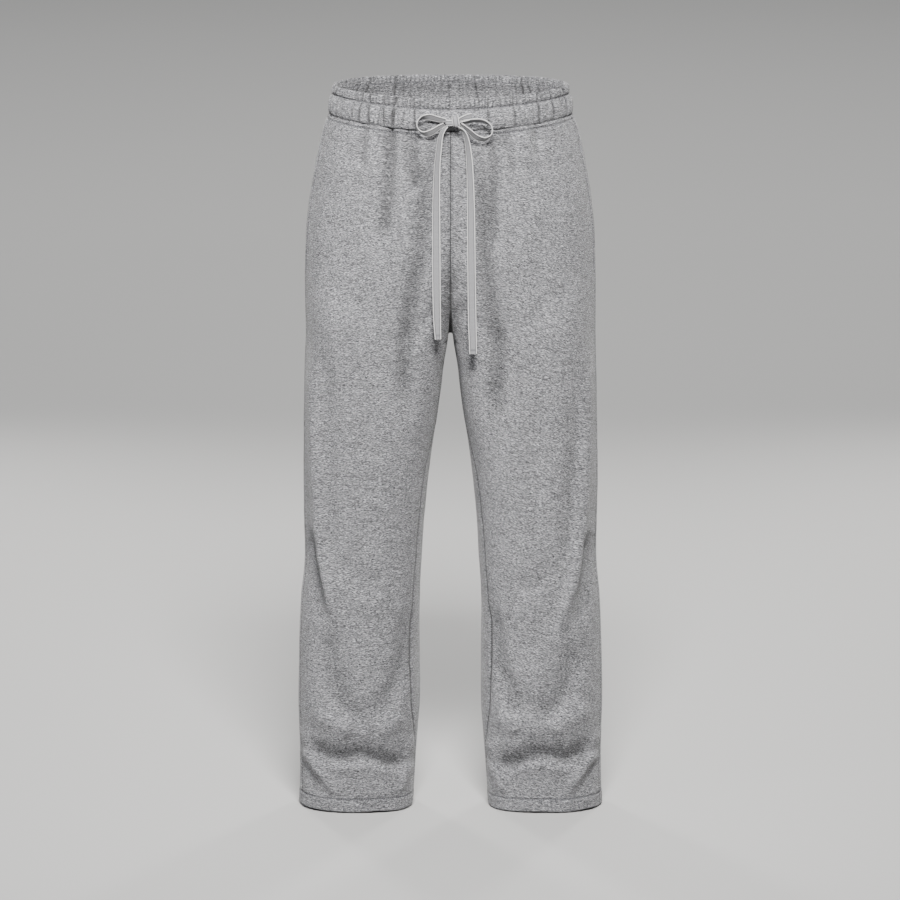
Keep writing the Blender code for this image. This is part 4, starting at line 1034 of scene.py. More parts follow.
def gatherWave(share, tiltShare=0.0):
    # -1 in a crease, about half above on the crest, and how far down the panel that gather trails
    share = (share - plan["starts"][0]) % 1.0 + plan["starts"][0]
    lines = plan["starts"] + plan["tilt"] * tiltShare / plan["length"]
    index = np.clip(np.searchsorted(lines, share, side="right") - 1, 0, gathers["count"] - 1)
    start, end = lines[index], lines[index + 1]
    t = np.clip((share - start) / (end - start), 0.0, 1.0)
    breadth = (end - start) * plan["length"]
    (height, roundness), (halfDepth, halfReach) = gathers["puff"], gathers["half"]
    puff = height * plan["strength"][index] * np.sin(math.pi * t)**roundness
    puff = puff * (1.0 - halfDepth * plan["half"][index] * bell(t - 0.5, halfReach))
    dip = 0.0
    for line, away in ((index, t * breadth), (index + 1, (1.0 - t) * breadth)):
        depth = plan["strength"][line] * plan["crease"][line]
        dip = dip + depth * np.exp(-(away / gathers["crease"])**gathers["sharpness"])
    trail = plan["trail"][index] + (plan["trail"][index + 1] - plan["trail"][index]) * t
    return puff - dip, trail


def ruffleWave(share):
    # the small, nearly even waves of the band's free edge
    turn = share * 2 * math.pi
    reach, count = gathers["ruffleDrift"]
    return np.sin(turn * gathers["ruffles"] + reach * np.sin(turn * count))


def bandShare(x, y):
    # how far round the band a place is, from its direction
    turn = np.degrees(np.arctan2(x / gathers["oval"][0], -y / gathers["oval"][1])) % 360.0
    return np.interp(turn, plan["turns"], plan["run"])


print("form worked out")

# leg panels
panelLook = {
    "rowStep": 0.0034,
    "ringPoints": 241,
    # columns close together beside the seams, and how many even ones lie between them
    "sideStops": (0.0, 0.0007, 0.0016, 0.003, 0.0046, 0.0056, 0.0064, 0.0072, 0.0088, 0.0112, 0.0145, 0.018),
    "innerStops": (0.0, 0.0008, 0.0018, 0.0032, 0.005, 0.0075, 0.0105, 0.014),
    "middle": {"front": 60, "back": 78},
    # rows close together: down from the waist seam, round the turn at the crotch and down from it
    "waistRows": (0.0, 0.0006, 0.0014, 0.0026, 0.004, 0.005, 0.0056, 0.0061, 0.0067, 0.0076, 0.0092, 0.0115),
    "turnRows": 36,
    "crotchRows": (0.001, 0.0022, 0.0036, 0.0052, 0.0072, 0.0096, 0.0124),
    # either side of the hem's stitches, and up from its edge
    "stitchRows": (0.009, 0.006, 0.0036, 0.002, 0.001, 0.0, -0.001, -0.002, -0.004, -0.007),
    "edgeRows": (0.009, 0.0066, 0.0044, 0.0026, 0.0013, 0.0005, 0.0),
    # breadth, length and area of each cut: the panel laid flat, with 10 mm seams and the hem's turn
    "flat": {"front": (0.377, 1.085, 0.274), "back": (0.423, 1.090, 0.374)},
    "grainShift": {("front", 1): 0.0, ("front", -1): 0.71, ("back", 1): 1.37, ("back", -1): 2.23},
    "grainTurn": {("front", 1): -0.26, ("front", -1): -0.06, ("back", 1): 0.05, ("back", -1): -0.05},
    "walls": {"hem": 1.0, "cloth": 0.5, "edge": 0.36},  # shares of twice the cloth's thickness
}
lay = {
    "hollowDepth": 0.0125,  # a fold this deep has its full painted shade
    "foldStart": (0.45, 0.015),  # share of a fold's depth at the waist seam, and where it is whole
    "paintedRiseShade": (0.85, 0.017),  # how dark the painted shade in the rise is, and half its breadth
    "riseReach": (-0.160, -0.360, 0.06),  # top, bottom and fade of it
    "pucker": 0.0013,  # height of the gathers under the band
    "puckerReach": (0.0012, 0.14),
    "seamDip": 0.0014,  # how far the cloth is drawn in along its seams
    "seamReach": 0.0026,
    "bandSeamReach": 0.0014,
    "stitchDip": 0.0010,
    "stitchReach": 0.0011,
    "bandStitch": 0.0060,  # the row of stitches under the waistband
    "riseStitch": 0.0036,
    "swell": (0.0009, (17.0, 17.0, 11.0)),  # slow rise and fall of the cloth
    "ripple": (0.00032, (52.0, 52.0, 34.0)),
    "evenReach": 0.010,  # the cloth is held even along the band
}
pocket = {
    "stitch": 0.0064,  # the row of stitches beside the mouth
    "rowTop": (-0.002, 0.010),  # where that row begins to show, and where it is whole
    "rowBottom": (-0.240, 0.012),
    "mouthFade": 0.006,
    "roll": (0.0012, 0.006),  # the mouth's edge is turned: its height and breadth
    "nip": (0.0010, 0.0009),
    "ridge": (0.0004, 0.0035, 0.0022),  # between the edge and the stitches: height, place, reach
}
hem = {
    "stitch": -1.0010,  # height of its row of stitches
    "dip": 1.2,
    "stitchReach": 0.0012,
    "top": (0.004, 0.006),  # above the stitches, and how far it takes to swell there
    "thicker": 0.0005,
    "rope": 0.00042,  # slanting puckers: height, spacing, slant and unevenness
    "ropeStep": 0.0105,
    "ropeSlant": 1.3,
    "ropeDrift": (1.6, 41.0, 0.4, 67.0),
    "edge": (0.0022, 0.0012, 0.98),  # the rolled edge: its height, its depth and how far round it goes
    "wave": (0.0007, 74.0, 38.0),
}
# painted shade along a seam or a row of stitches: how dark it is, and half its breadth
shadeLines = {
    "bandSeam": (0.75, 0.00132),
    "inseam": (1.0, 0.00187),
    "rise": (1.0, 0.00121),
    "sideSeam": (1.0, 0.00121),
    "riseStitches": (0.45, 0.00088),
    "bandStitches": (0.90, 0.001155),
    "hemStitches": (0.85, 0.001045),
    "pocketStitches": (0.75, 0.000935),
}


def rowHeights():
    # heights of a panel's rows from the waist seam to the hem, closer where the form turns or is stitched
    def evenRows(start, end):
        count = round((start - end) / panelLook["rowStep"])
        return list(np.linspace(start, end, count + 1)[1:])

    rows = [waistLines["seam"][0] - step for step in panelLook["waistRows"]]
    rows += evenRows(rows[-1], form["split"])
    angles = np.linspace(0.0, math.pi / 2, panelLook["turnRows"] + 1)[1:]
    rows += [form["split"] - (form["split"] - form["crotch"]) * math.sin(angle) for angle in angles]
    rows += [form["crotch"] - step for step in panelLook["crotchRows"]]
    low = [hem["stitch"] + step for step in panelLook["stitchRows"]]
    rows += evenRows(rows[-1], low[0]) + low[1:]
    rows += [form["hemEdge"] + step for step in panelLook["edgeRows"]]
    return np.array(rows)


def arcTable(face, height):
    # columns of one ring against the distance along the cloth from its inner edge
    start = 0.0 if height >= form["split"] else -1.0
    columns = np.linspace(start, 1.0, panelLook["ringPoints"])
    return columns, runAlong(basePoint(face, np.full(columns.shape, height), columns))


def clothBreadth(face, height, run):
    # how much of a ring is cloth: the front stops short of the side seam at the pocket mouth
    atMouth = face == "front" and form["pocketBottom"] < height < form["pocketTop"]
    return run[-1] - (form["pocketMouth"] if atMouth else 0.0)


def paintedSeamShade(face, height, below, toInner, toSide, nearPocket):
    # painted shade: 1 down in a seam, less along a row of stitches
    def line(name, away):
        dark, breadth = shadeLines[name]
        return dark * np.exp(-np.abs(away / breadth)**2.5)

    lines = [
        line("bandSeam", below),
        np.where(height < form["crotch"], line("inseam", toInner), line("rise", toInner)),
        line("sideSeam", toSide),
        line("riseStitches", toInner - lay["riseStitch"]) * (height > form["split"]),
        line("bandStitches", below - lay["bandStitch"]),
        line("hemStitches", height - hem["stitch"]),
    ]
    if face == "front":
        lines.append(line("pocketStitches", toSide - pocket["stitch"]) * nearPocket)
    return np.max(np.array(lines), axis=0)


def pocketEdge(height, toSide, nearPocket):
    # the front panel along the side: drawn in at the seam, rolled and stitched at the pocket mouth
    fade = pocket["mouthFade"]
    mouth = smooth((form["pocketTop"] - height) / fade) * smooth((height - form["pocketBottom"]) / fade)
    (roll, breadth), (nip, nipReach), (ridge, at, reach) = pocket["roll"], pocket["nip"], pocket["ridge"]
    out = -lay["seamDip"] * bell(toSide, lay["seamReach"]) * (1.0 - mouth)
    out += roll * mouth * (1.0 - smooth((toSide - breadth) / breadth))
    out -= nip * mouth * bell(toSide, nipReach)
    out -= lay["stitchDip"] * nearPocket * bell(toSide - pocket["stitch"], lay["stitchReach"])
    return out + ridge * nearPocket * bell(toSide - at, reach)


def hemEdge(height, toSide):
    # two layers, a sunk row of stitches with slanting puckers, and a rolled edge
    above, fade = hem["top"]
    inHem = smooth((hem["stitch"] + above - height) / fade)
    out = hem["thicker"] * inHem
    out -= lay["stitchDip"] * hem["dip"] * bell(height - hem["stitch"], hem["stitchReach"])
    reach, slow, share, fast = hem["ropeDrift"]
    slant = (toSide + hem["ropeSlant"] * (height - hem["stitch"])) * 2 * math.pi / hem["ropeStep"]
    rope = np.sin(slant + reach * np.sin(toSide * slow)) * (1.0 - share + share * np.sin(toSide * fast))
    out += hem["rope"] * inHem * rope
    tall, deep, turned = hem["edge"]
    edge = np.clip((form["hemEdge"] + tall - height) / tall, 0.0, 1.0)
    return out - deep * (1.0 - np.sqrt(1.0 - edge**2 * turned)), inHem


def clothPoint(side, face, height, column, toInner, toSide):
    # the finished outer face of a panel, the painted shade deep in its folds and in the rise, and how near
    # each place lies to the pocket's stitches and below the waist seam
    place = basePoint(face, height, column)
    normal = baseNormal(face, height, column)
    onRise = (height >= form["crotch"]) & ((column <= -1.0) | ((height >= form["split"]) & (column <= 0.0)))
    normal[..., 0] = np.where(onRise, 0.0, normal[..., 0])
    normal = unit(normal)
    out, fall, hollow = (np.zeros(place.shape[:-1]) for _ in range(3))
    below = np.maximum(waistLines["seam"][0] - height, 0.0)
    least, whole = lay["foldStart"]
    eased = least + (1.0 - least) * smooth(below / whole)
    for foldFace, facing in (("front", -normal[..., 1]), ("back", normal[..., 1])):
        share = smooth(form["foldWrap"][0] + form["foldWrap"][1] * facing) * eased
        lift, slumped = foldHeight(foldFace, side * place[..., 0], place[..., 2])
        out += share * lift
        fall += share * slumped
        # painted shade, darkest deep in a fold
        hollow = np.maximum(hollow, smooth(-share * lift / lay["hollowDepth"]))
    # painted shade in the rise, which lies in the shade of both thighs
    (dark, breadth), (top, bottom, fade) = lay["paintedRiseShade"], lay["riseReach"]
    inRise = bell(place[..., 0], breadth) * smooth((top - height) / fade) * smooth((height - bottom) / fade)
    hollow = np.maximum(hollow, dark * inRise * (normal[..., 1] < 0.0))
    # gathers that run on under the waistband
    wave, trail = gatherWave(bandShare(side * place[..., 0], place[..., 1]))
    start, end = lay["puckerReach"]
    out += lay["pucker"] * wave * np.exp(-below / trail) * smooth(below / start) * (below < end)
    # stitched lines and seams draw the cloth in
    out -= lay["stitchDip"] * bell(below - lay["bandStitch"], lay["stitchReach"])
    out -= lay["seamDip"] * (bell(below, lay["bandSeamReach"]) + bell(toInner, lay["seamReach"]))
    (top, topFade), (bottom, bottomFade) = pocket["rowTop"], pocket["rowBottom"]
    nearPocket = smooth((top - height) / topFade) * smooth((height - bottom) / bottomFade)
    if face == "front":
        out += pocketEdge(height, toSide, nearPocket)
    else:
        out -= lay["seamDip"] * bell(toSide, lay["seamReach"])
    hemOut, inHem = hemEdge(height, toSide)
    # slow unevenness, the same on both sides of a seam
    mirrored = place * (side, 1.0, 1.0)
    (swell, swellScale), (ripple, rippleScale) = lay["swell"], lay["ripple"]
    uneven = swell * noiseOver(mirrored, swellScale)
    uneven += ripple * noiseOver(mirrored, rippleScale, (7.0, 0.0, 0.0))
    out += hemOut + uneven * smooth(below / lay["evenReach"])
    place = place + normal * out[..., None]
    tall, across, deep = hem["wave"]
    wave = np.sin(side * place[..., 0] * across + place[..., 1] * deep + side)
    place[..., 2] += tall * inHem * wave - fall
    place[..., 0] = np.where(onRise, 0.0, place[..., 0]) * side
    return place, hollow, nearPocket, below


def panelPoints(side, face):
    heights = rowHeights()
    sideStops, innerStops = np.array(panelLook["sideStops"]), np.array(panelLook["innerStops"])
    count = panelLook["middle"][face]
    columns, inners, outers = [], [], []
    for height in heights:
        table, run = arcTable(face, height)
        usable = clothBreadth(face, height, run)
        middle = np.linspace(innerStops[-1], usable - sideStops[-1], count + 1)[1:-1]
        stops = np.concatenate([innerStops, middle, usable - sideStops[::-1]])
        columns.append(np.interp(stops, run, table))
        inners.append(stops)
        outers.append(usable - stops)
    columns, inners, outers = np.array(columns), np.array(inners), np.array(outers)
    edge = np.where(heights >= form["split"], 0.0, -1.0)
    columns[:, 0] = np.where(heights > form["crotch"], edge, columns[:, 0])
    grid = np.broadcast_to(heights[:, None], columns.shape)
    points, hollow, nearPocket, below = clothPoint(side, face, grid, columns, inners, outers)
    shade = paintedSeamShade(face, grid, below, inners, outers, nearPocket)
    shift, turn = panelLook["grainShift"][face, side], panelLook["grainTurn"][face, side]
    uv = np.stack([outers + shift, grid + 2.0 + turn * outers], axis=-1)
    return [part[::-1] for part in (points, uv, shade, hollow, heights)]


def makePanel(name, side, face):
    points, uv, shade, hollow, heights = panelPoints(side, face)
    if (side > 0) != (face == "front"):
        points, uv, shade, hollow = (part[:, ::-1] for part in (points, uv, shade, hollow))
    piece, row, column = gridPiece(name, points, uv, fleeceCloth)
    # painted shade in the seams, stitched rows, folds and rise
    setShare(piece, "seam", shade[row, column])
    setShare(piece, "hollow", hollow[row, column])
    thick = panelLook["walls"]
    walls = np.where(heights[row] <= hem["stitch"] + 0.001, thick["hem"], thick["cloth"])
    atEdge = (column == 0) | (column == points.shape[1] - 1)
    walls = np.where(atEdge, thick["edge"], walls)
    group = piece.vertex_groups.new(name="wall")
    for share in np.unique(walls):
        group.add([int(i) for i in np.nonzero(walls == share)[0]], float(share), "REPLACE")
    addWall(piece, 2 * form["cloth"], "wall")
    softShade(piece)
    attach(piece, "root")
    return piece


panels = {}
for sideName, side in wearerSides:
    for face in ("front", "back"):
        piece = makePanel(f"{face}Leg{sideName}", side, face)
        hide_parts(f"{face}_leg_{sideName.lower()}")
        panels[face, side] = piece
print("leg panels made")


# waistband
bandLook = {
    "wall": 0.0012,
    "flat": (0.103, 0.976),
    # columns as shares of a gather's breadth
    "stops": (0.0, 0.05, 0.11, 0.19, 0.30, 0.42, 0.54, 0.66, 0.77, 0.86, 0.92, 0.97),
    "backSeam": (0.0009, 0.0006, 0.0012),  # how far it is drawn in, outside and inside, and its reach
    "sag": (0.0006, (40.0, 40.0, 0.0)),
    "sway": {"header": 0.0003, "rim": 0.0004},  # how far the gathers lift these lines
    # painted shade: how dark the creases, the free edge's waves, the header's stitches and the foot are
    "creaseShade": 0.85,
    "frillShade": 0.50,
    "headerShade": 0.8,
    "footShade": 0.5,
    "lineReach": 0.03,  # half the breadth of the header's and the foot's painted shade lines, as a share of the rows
    "gathered": 1.06,  # length of the cloth against the band's
    "shallow": 0.0005,  # rows with gathers no deeper than this have no ruffle
    "frillEnd": 0.93,
    "frillStart": 0.05,
    # outer face then inner: the two lines a row lies between, its share of the way up, how far it stands out,
    # and how deep its gathers are
    "rows": [
        ("seam", "header", 0.00, 0.0060, 0.0006),
        ("seam", "header", 0.03, 0.0067, 0.0010),
        ("seam", "header", 0.07, 0.0072, 0.0013),
        ("seam", "header", 0.13, 0.0077, 0.0016),
        ("seam", "header", 0.21, 0.0080, 0.0018),
        ("seam", "header", 0.30, 0.0081, 0.0019),
        ("seam", "header", 0.40, 0.0081, 0.0019),
        ("seam", "header", 0.50, 0.0079, 0.0019),
        ("seam", "header", 0.60, 0.0075, 0.0019),
        ("seam", "header", 0.70, 0.0069, 0.0018),
        ("seam", "header", 0.79, 0.0060, 0.0017),
        ("seam", "header", 0.87, 0.0047, 0.0014),
        ("seam", "header", 0.93, 0.0032, 0.0011),
        ("seam", "header", 0.97, 0.0017, 0.0008),
        ("seam", "header", 1.00, 0.0006, 0.0006),
        ("header", "rim", 0.06, 0.0011, 0.0009),
        ("header", "rim", 0.14, 0.0017, 0.0013),
        ("header", "rim", 0.26, 0.0022, 0.0018),
        ("header", "rim", 0.40, 0.0023, 0.0021),
        ("header", "rim", 0.55, 0.0020, 0.0022),
        ("header", "rim", 0.70, 0.0016, 0.0022),
        ("header", "rim", 0.83, 0.0011, 0.0021),
        ("header", "rim", 0.93, 0.0005, 0.0020),
        ("header", "rim", 0.99, -0.0002, 0.0014),
        ("header", "rim", 1.02, -0.0010, 0.0011),
        ("header", "rim", 0.98, -0.0018, 0.0011),
        ("header", "rim", 0.88, -0.0023, 0.0012),
        ("header", "rim", 0.70, -0.0027, 0.0010),
        ("header", "rim", 0.45, -0.0030, 0.0007),
        ("header", "rim", 0.20, -0.0030, 0.0002),
        ("header", "rim", 0.06, -0.0027, -0.0002),
        ("seam", "header", 1.00, -0.0023, -0.0004),
        ("seam", "header", 0.95, -0.0024, -0.0007),
        ("seam", "header", 0.86, -0.0016, -0.0011),
        ("seam", "header", 0.74, 0.0000, -0.0014),
        ("seam", "header", 0.60, 0.0014, -0.0015),
        ("seam", "header", 0.45, 0.0024, -0.0015),
        ("seam", "header", 0.30, 0.0031, -0.0013),
        ("seam", "header", 0.15, 0.0034, -0.0009),
        ("seam", "header", 0.05, 0.0034, -0.0005),
        ("seam", "header", 0.00, 0.0034, -0.0003),
    ],
}


def rowTilt(lower, rise):
    # how far up the band a row is, for the lean of its creases
    return rise if lower == "seam" else 1.0 + 0.5 * rise


def bandPoint(share, row):
    # a point of the band at a share of the way round, on one of its rows; the rows may be read between
    lower, upper, rise, out, depth = row
    wave, _ = gatherWave(share, rowTilt(lower, rise))
    turn = np.interp(share % 1.0, plan["run"], plan["turns"])
    s, c = np.sin(np.radians(turn)), np.cos(np.radians(turn))
    stand = out + depth * wave
    if lower == "header" and depth > bandLook["shallow"]:
        frill = math.sin(math.pi * min(rise, bandLook["frillEnd"]))**0.5
        stand = stand + gathers["ruffleDepth"] * frill * ruffleWave(share)
    outside, inside, reach = bandLook["backSeam"]
    stand = stand - (outside if depth > 0 else -inside) * bell((share - 0.5) * plan["length"], reach)
    low, high = lineHeight(lower, turn), lineHeight(upper, turn)
    height = low + (high - low) * rise + bandLook["sway"][upper] * rise * wave
    x, y = (gathers["oval"][0] + stand) * s, -(gathers["oval"][1] + stand) * c
    deep, scale = bandLook["sag"]
    sag = deep * noiseOver(np.stack([x, y, height], axis=-1), scale, (0.0, 0.0, 3.0))
    return np.stack([x + sag * s, y - sag * c, height], axis=-1)


def bandShade(shares, row):
    # painted shade: dark in the creases, between the waves of the free edge, along the header's stitches and
    # at the foot
    lower, _, rise, _, depth = row
    wave, _ = gatherWave(shares, rowTilt(lower, rise))
    crease = bandLook["creaseShade"] * np.clip(-wave, 0.0, 1.1) / 1.1 * smooth(abs(depth) / 0.0012)
    if lower == "seam":
        frill, top, foot = 0.0, 1.0, bell(rise, bandLook["lineReach"])
    else:
        frill, top, foot = smooth(-1.5 * ruffleWave(shares)) * (rise > bandLook["frillStart"]), 0.0, 0.0
    header = bandLook["headerShade"] * bell(rise - top, bandLook["lineReach"])
    lines = max(header, bandLook["footShade"] * foot)
    return np.maximum(crease, np.maximum(bandLook["frillShade"] * frill, lines))


def makeBand():
    starts, ends = plan["starts"][:-1], plan["starts"][1:]
    shares = (starts[:, None] + (ends - starts)[:, None] * np.array(bandLook["stops"])[None, :]).ravel()
    shares = np.append(shares, shares[0] + 1.0)
    rows, along, shades, gone = [], [], [], 0.0
    for row in bandLook["rows"]:
        shift = plan["tilt"] * rowTilt(row[0], row[2]) / plan["length"]
        moved = shares + np.interp(shares, plan["starts"], shift)
        points, shade = bandPoint(moved, row), bandShade(moved, row)
        points[-1], shade[-1] = points[0], shade[0]
        if rows:
            gone += float(np.median(np.linalg.norm(points - rows[-1], axis=1)))
        rows.append(points)
        along.append(gone)
        shades.append(shade)
    across = (shares - shares[0]) * plan["length"] * bandLook["gathered"]
    uv = np.stack(np.broadcast_arrays(across[None, :], np.array(along)[:, None] + 0.5), axis=-1)
    band, row, column = gridPiece("gatheredBand", np.array(rows), uv, bandCloth)
    # painted shade in the band's creases, waves and stitched lines
    setShare(band, "seam", np.array(shades)[row, column])
    mergeDoubles(band)
    addWall(band, bandLook["wall"])
    softShade(band)
    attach(band, "root")
    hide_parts("waistband")
    return band


waistband = makeBand()
print("waistband made")

# pocket bags
bagShape = {
    "rows": 60,
    "columns": 30,
    "top": -0.030,
    "bottom": -0.250,
    # heights, and the column of the front edge there
    "forward": ((-0.250, -0.205, -0.075, -0.030), (0.50, 0.42, 0.42, 0.50)),
    "outer": 0.999,
    "gap": 0.0011,  # behind the front panel
    "thick": 0.0016,
    "puff": (0.0004, 19.0, 160.0),
    "flat": (0.122, 0.224, 0.0253),
}


def makeBag(sideName, side):
    rows, columns = bagShape["rows"], bagShape["columns"]
    heights = np.linspace(bagShape["bottom"], bagShape["top"], rows)
    forward = np.interp(heights, *bagShape["forward"])[:, None]
    share = np.linspace(0.0, 1.0, columns)
    column = forward + (1.0 - forward) * share[None, :] * bagShape["outer"]
    grid = np.broadcast_to(heights[:, None], column.shape)
    place, normal = basePoint("front", grid, column), baseNormal("front", grid, column)
    lift, _ = foldHeight("front", side * place[..., 0], place[..., 2])
    out = smooth(form["foldWrap"][0] - form["foldWrap"][1] * normal[..., 1]) * lift
    deep, across, down = bagShape["puff"]
    out = out + deep * np.sin(share * across)[None, :] * np.sin(heights * down)[:, None]
    place = place + normal * (out - form["cloth"] - bagShape["gap"])[..., None]
    place[..., 0] *= side
    run = np.cumsum(np.linalg.norm(np.diff(place, axis=1), axis=2), axis=1)
    uv = np.stack([np.concatenate([np.zeros((rows, 1)), run], axis=1), grid + 1.0], axis=-1)
    if side < 0:
        place, uv = place[:, ::-1], uv[:, ::-1]
    bag, _, _ = gridPiece(f"pocketBag{sideName}", place, uv, jerseyCloth)
    addWall(bag, bagShape["thick"])
    softShade(bag)
    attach(bag, "root")
    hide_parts(f"pocket_bag_{sideName.lower()}")
    return bag


bags = [makeBag(sideName, side) for sideName, side in wearerSides]
print("pocket bags made")

# sewing: a stitch's own size, then for each place its length and breadth
sewing = {
    "step": 0.0033,
    "height": 0.00046,
    "breadth": 0.00052,  # of a stitch with that height
    "sink": 0.30,
    "longest": 4.5,  # a gap of this many steps is left unsewn
    "castFrom": 0.012,
    "row": (0.0025, 0.00052),
    "hem": (0.0025, 0.000572),
    "tack": (0.0045, 0.00065),
    "bar": (0.0040, 0.00055),
    "buttonhole": (0.0017, 0.00050),
    "slit": (0.0012, 0.00075),
    "tail": (0.0012, 0.00062),
    "headerOut": 0.0006,  # where the header's rows lie, outside and inside
    "headerIn": -0.0023,
    "headerLength": 1.04,  # its length against the gathers' own line
    "rowEnds": (0.002, 0.001),
    "pocketRow": (-0.0150, -0.236),
    "tackIn": 0.002,  # how far a bartack lies past the mouth's end
    "tackCount": 13,
    "tackSpread": 0.0045,
    "tackColumns": (0.0030, 0.0050),
}
holes = {
    "x": {"Left": 0.0292, "Right": -0.0282},
    "y": -0.1090,
    "slit": (-0.0048, 0.0058, 22),
    "half": 0.0011,
    "bars": (-0.0056, -0.0052, 0.0062, 0.0066),
}
tailEnd = {"rows": (0.0050, 0.0064), "half": 0.30, "count": 7, "castFrom": 0.006}


def stitchShape():
    # one stitch, modelled once and read as numbers
    bpy.ops.object.select_all(action="DESELECT")
    bpy.ops.mesh.primitive_uv_sphere_add(segments=6, ring_count=4, radius=0.5)
    shape = bpy.context.object
    points = np.array([v.co[:] for v in shape.data.vertices])
    points = points[:, [2, 0, 1]]  # its poles lie along the stitch
    points[:, 0] = np.sign(points[:, 0]) * 0.5 * np.abs(2 * points[:, 0])**0.75
    faces = [tuple(p.vertices) for p in shape.data.polygons]
    bpy.ops.object.delete()
    return points, faces


stitchPoints, stitchFaces = stitchShape()


def sewPiece(name, stitches, thread):
    # stitches: rows of place, direction, outward normal, and length with breadth
    points, faces = [], []
    for place, direction, normal, (length, breadth) in stitches:
        direction = np.array(direction) / np.linalg.norm(direction)
        normal = np.array(normal) - direction * np.dot(direction, normal)
        normal = normal / np.linalg.norm(normal)
        across = np.cross(normal, direction)
        if np.dot(np.cross(direction, across), normal) < 0:
            across = -across
        tall = sewing["height"] * breadth / sewing["breadth"]
        middle = np.array(place) + normal * tall * (0.5 - sewing["sink"])
        offset = len(points) * len(stitchPoints)
        points.append(middle + stitchPoints @ np.array([direction * length, across * breadth, normal * tall]))
        faces += [tuple(i + offset for i in face) for face in stitchFaces]
    mesh = bpy.data.meshes.new(name)
    mesh.from_pydata(np.vstack(points).tolist(), [], faces)
    mesh.shade_smooth()
    mesh.materials.append(threads[thread])
    piece = bpy.data.objects.new(name, mesh)
    bpy.context.collection.objects.link(piece)
    pointOut(piece)
    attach(piece, "root")
    return piece


def castOn(tree, points, normals, reach=sewing["castFrom"]):
    # the places and normals of a surface under a row of points, looked at from outside
    found = []
    for point, normal in zip(points, normals):
        place, out, _, _ = tree.ray_cast(Vector(point + normal * reach), Vector(-normal), reach * 2.5)
        if place is not None:
            found.append((np.array(place), np.array(out)))
    return found


def castBack(tree, x, y, z, reach=sewing["castFrom"]):
    # the place straight behind a point in front
    return castOn(tree, np.array([[x, y, z]]), np.array([[0.0, -1.0, 0.0]]), reach)


def rowOfStitches(found, size):
    stitches = []
    for (before, _), (place, out), (after, _) in zip(found, found[1:], found[2:]):
        if np.linalg.norm(after - before) <= sewing["longest"] * sewing["step"]:
            stitches.append((place, after - before, out, size))
    return stitches


def panelRow(face, side, height):
    # places along one ring of a panel
    table, run = arcTable(face, height)
    start, end = sewing["rowEnds"]
    columns = np.interp(np.arange(start, run[-1] - end, sewing["step"]), run, table)
    heights = np.full(columns.shape, height)
    points, normals = basePoint(face, heights, columns), baseNormal(face, heights, columns)
    flip = np.array([side, 1.0, 1.0])
    return castOn(surfaces[face, side], points * flip, normals * flip)


def panelColumn(face, side, heights, fromSide):
    # places down a panel at one distance from its side seam
    points, normals = [], []
    for height in heights:
        table, run = arcTable(face, height)
        column = np.interp(clothBreadth(face, height, run) - fromSide, run, table)
        points.append(basePoint(face, height, column))
        normals.append(baseNormal(face, height, column))
    flip = np.array([side, 1.0, 1.0])
    return castOn(surfaces[face, side], np.array(points) * flip, np.array(normals) * flip)


surfaces = {key: surfaceOf(piece) for key, piece in panels.items()}
bandSurface = surfaceOf(waistband)


def sewBand():
    # the header row outside and inside, and the row that holds the lower edge's allowance on the panels
    count = int(plan["length"] * sewing["headerLength"] / sewing["step"])
    shares = np.linspace(0.0, 1.0, count, endpoint=False)
    turn = np.radians(np.interp(shares, plan["run"], plan["turns"]))
    halfX, halfY = gathers["oval"]
    outward = unit(np.stack([np.sin(turn) / halfX, -np.cos(turn) / halfY, 0 * turn], axis=-1))
    stitches = []
    for out, facing in ((sewing["headerOut"], outward), (sewing["headerIn"], -outward)):
        found = castOn(bandSurface, bandPoint(shares, ("seam", "header", 1.0, out, 0.0)), facing)
        stitches += rowOfStitches(found, sewing["row"])
    header = sewPiece("headerStitches", stitches, "seamThread")
    stitches = []
    height = waistLines["seam"][0] - lay["bandStitch"]
    for face, side in panels:
        stitches += rowOfStitches(panelRow(face, side, height), sewing["row"])
    return [header, sewPiece("bandEdgeStitches", stitches, "seamThread")]


def sewHems():
    stitches = []
    for face, side in panels:
        stitches += rowOfStitches(panelRow(face, side, hem["stitch"]), sewing["hem"])
    sewPiece("hemStitches", stitches, "seamThread")


def sewPockets():
    # a row beside each mouth, and a bartack across each end of it
    inner, outer = sewing["tackColumns"]
    for sideName, side in wearerSides:
        heights = np.arange(*sewing["pocketRow"], -sewing["step"])
        stitches = rowOfStitches(panelColumn("front", side, heights, pocket["stitch"]), sewing["row"])
        for middle in (form["pocketTop"] + sewing["tackIn"], form["pocketBottom"] - sewing["tackIn"]):
            for step in np.linspace(-sewing["tackSpread"], sewing["tackSpread"], sewing["tackCount"]):
                here = panelColumn("front", side, [middle + step], inner)
                ahead = panelColumn("front", side, [middle + step], outer)
                if here and ahead:
                    place, out = here[0]
                    stitches.append((place, ahead[0][0] - place, out, sewing["tack"]))
        sewPiece(f"pocketStitches{sideName}", stitches, "seamThread")


def sewButtonholes():
    # an upright slit with a close row of stitches each side and bars at its ends; the slit is a near-black
    # strip of painted shade
    for sideName, _ in wearerSides:
        x, y = holes["x"][sideName], holes["y"]
        stitches, slit = [], []
        for z in np.linspace(*holes["slit"]):
            for offset in (-holes["half"], holes["half"]):
                for place, out in castBack(bandSurface, x + offset, y, z):
                    stitches.append((place, (1.0, 0.0, 0.06), out, sewing["buttonhole"]))
            # painted shade: a near-black strip stands in the slit's opening
            for place, out in castBack(bandSurface, x, y, z):
                slit.append((place - 0.0001 * out, (0.0, 0.0, 1.0), out, sewing["slit"]))
        for z in holes["bars"]:
            for place, out in castBack(bandSurface, x, y, z):
                stitches.append((place, (1.0, 0.0, 0.0), out, sewing["bar"]))
        sewPiece(f"buttonhole{sideName}", stitches, "seamThread")
        sewPiece(f"buttonholeSlitShade{sideName}", slit, "buttonholeSlitShade")


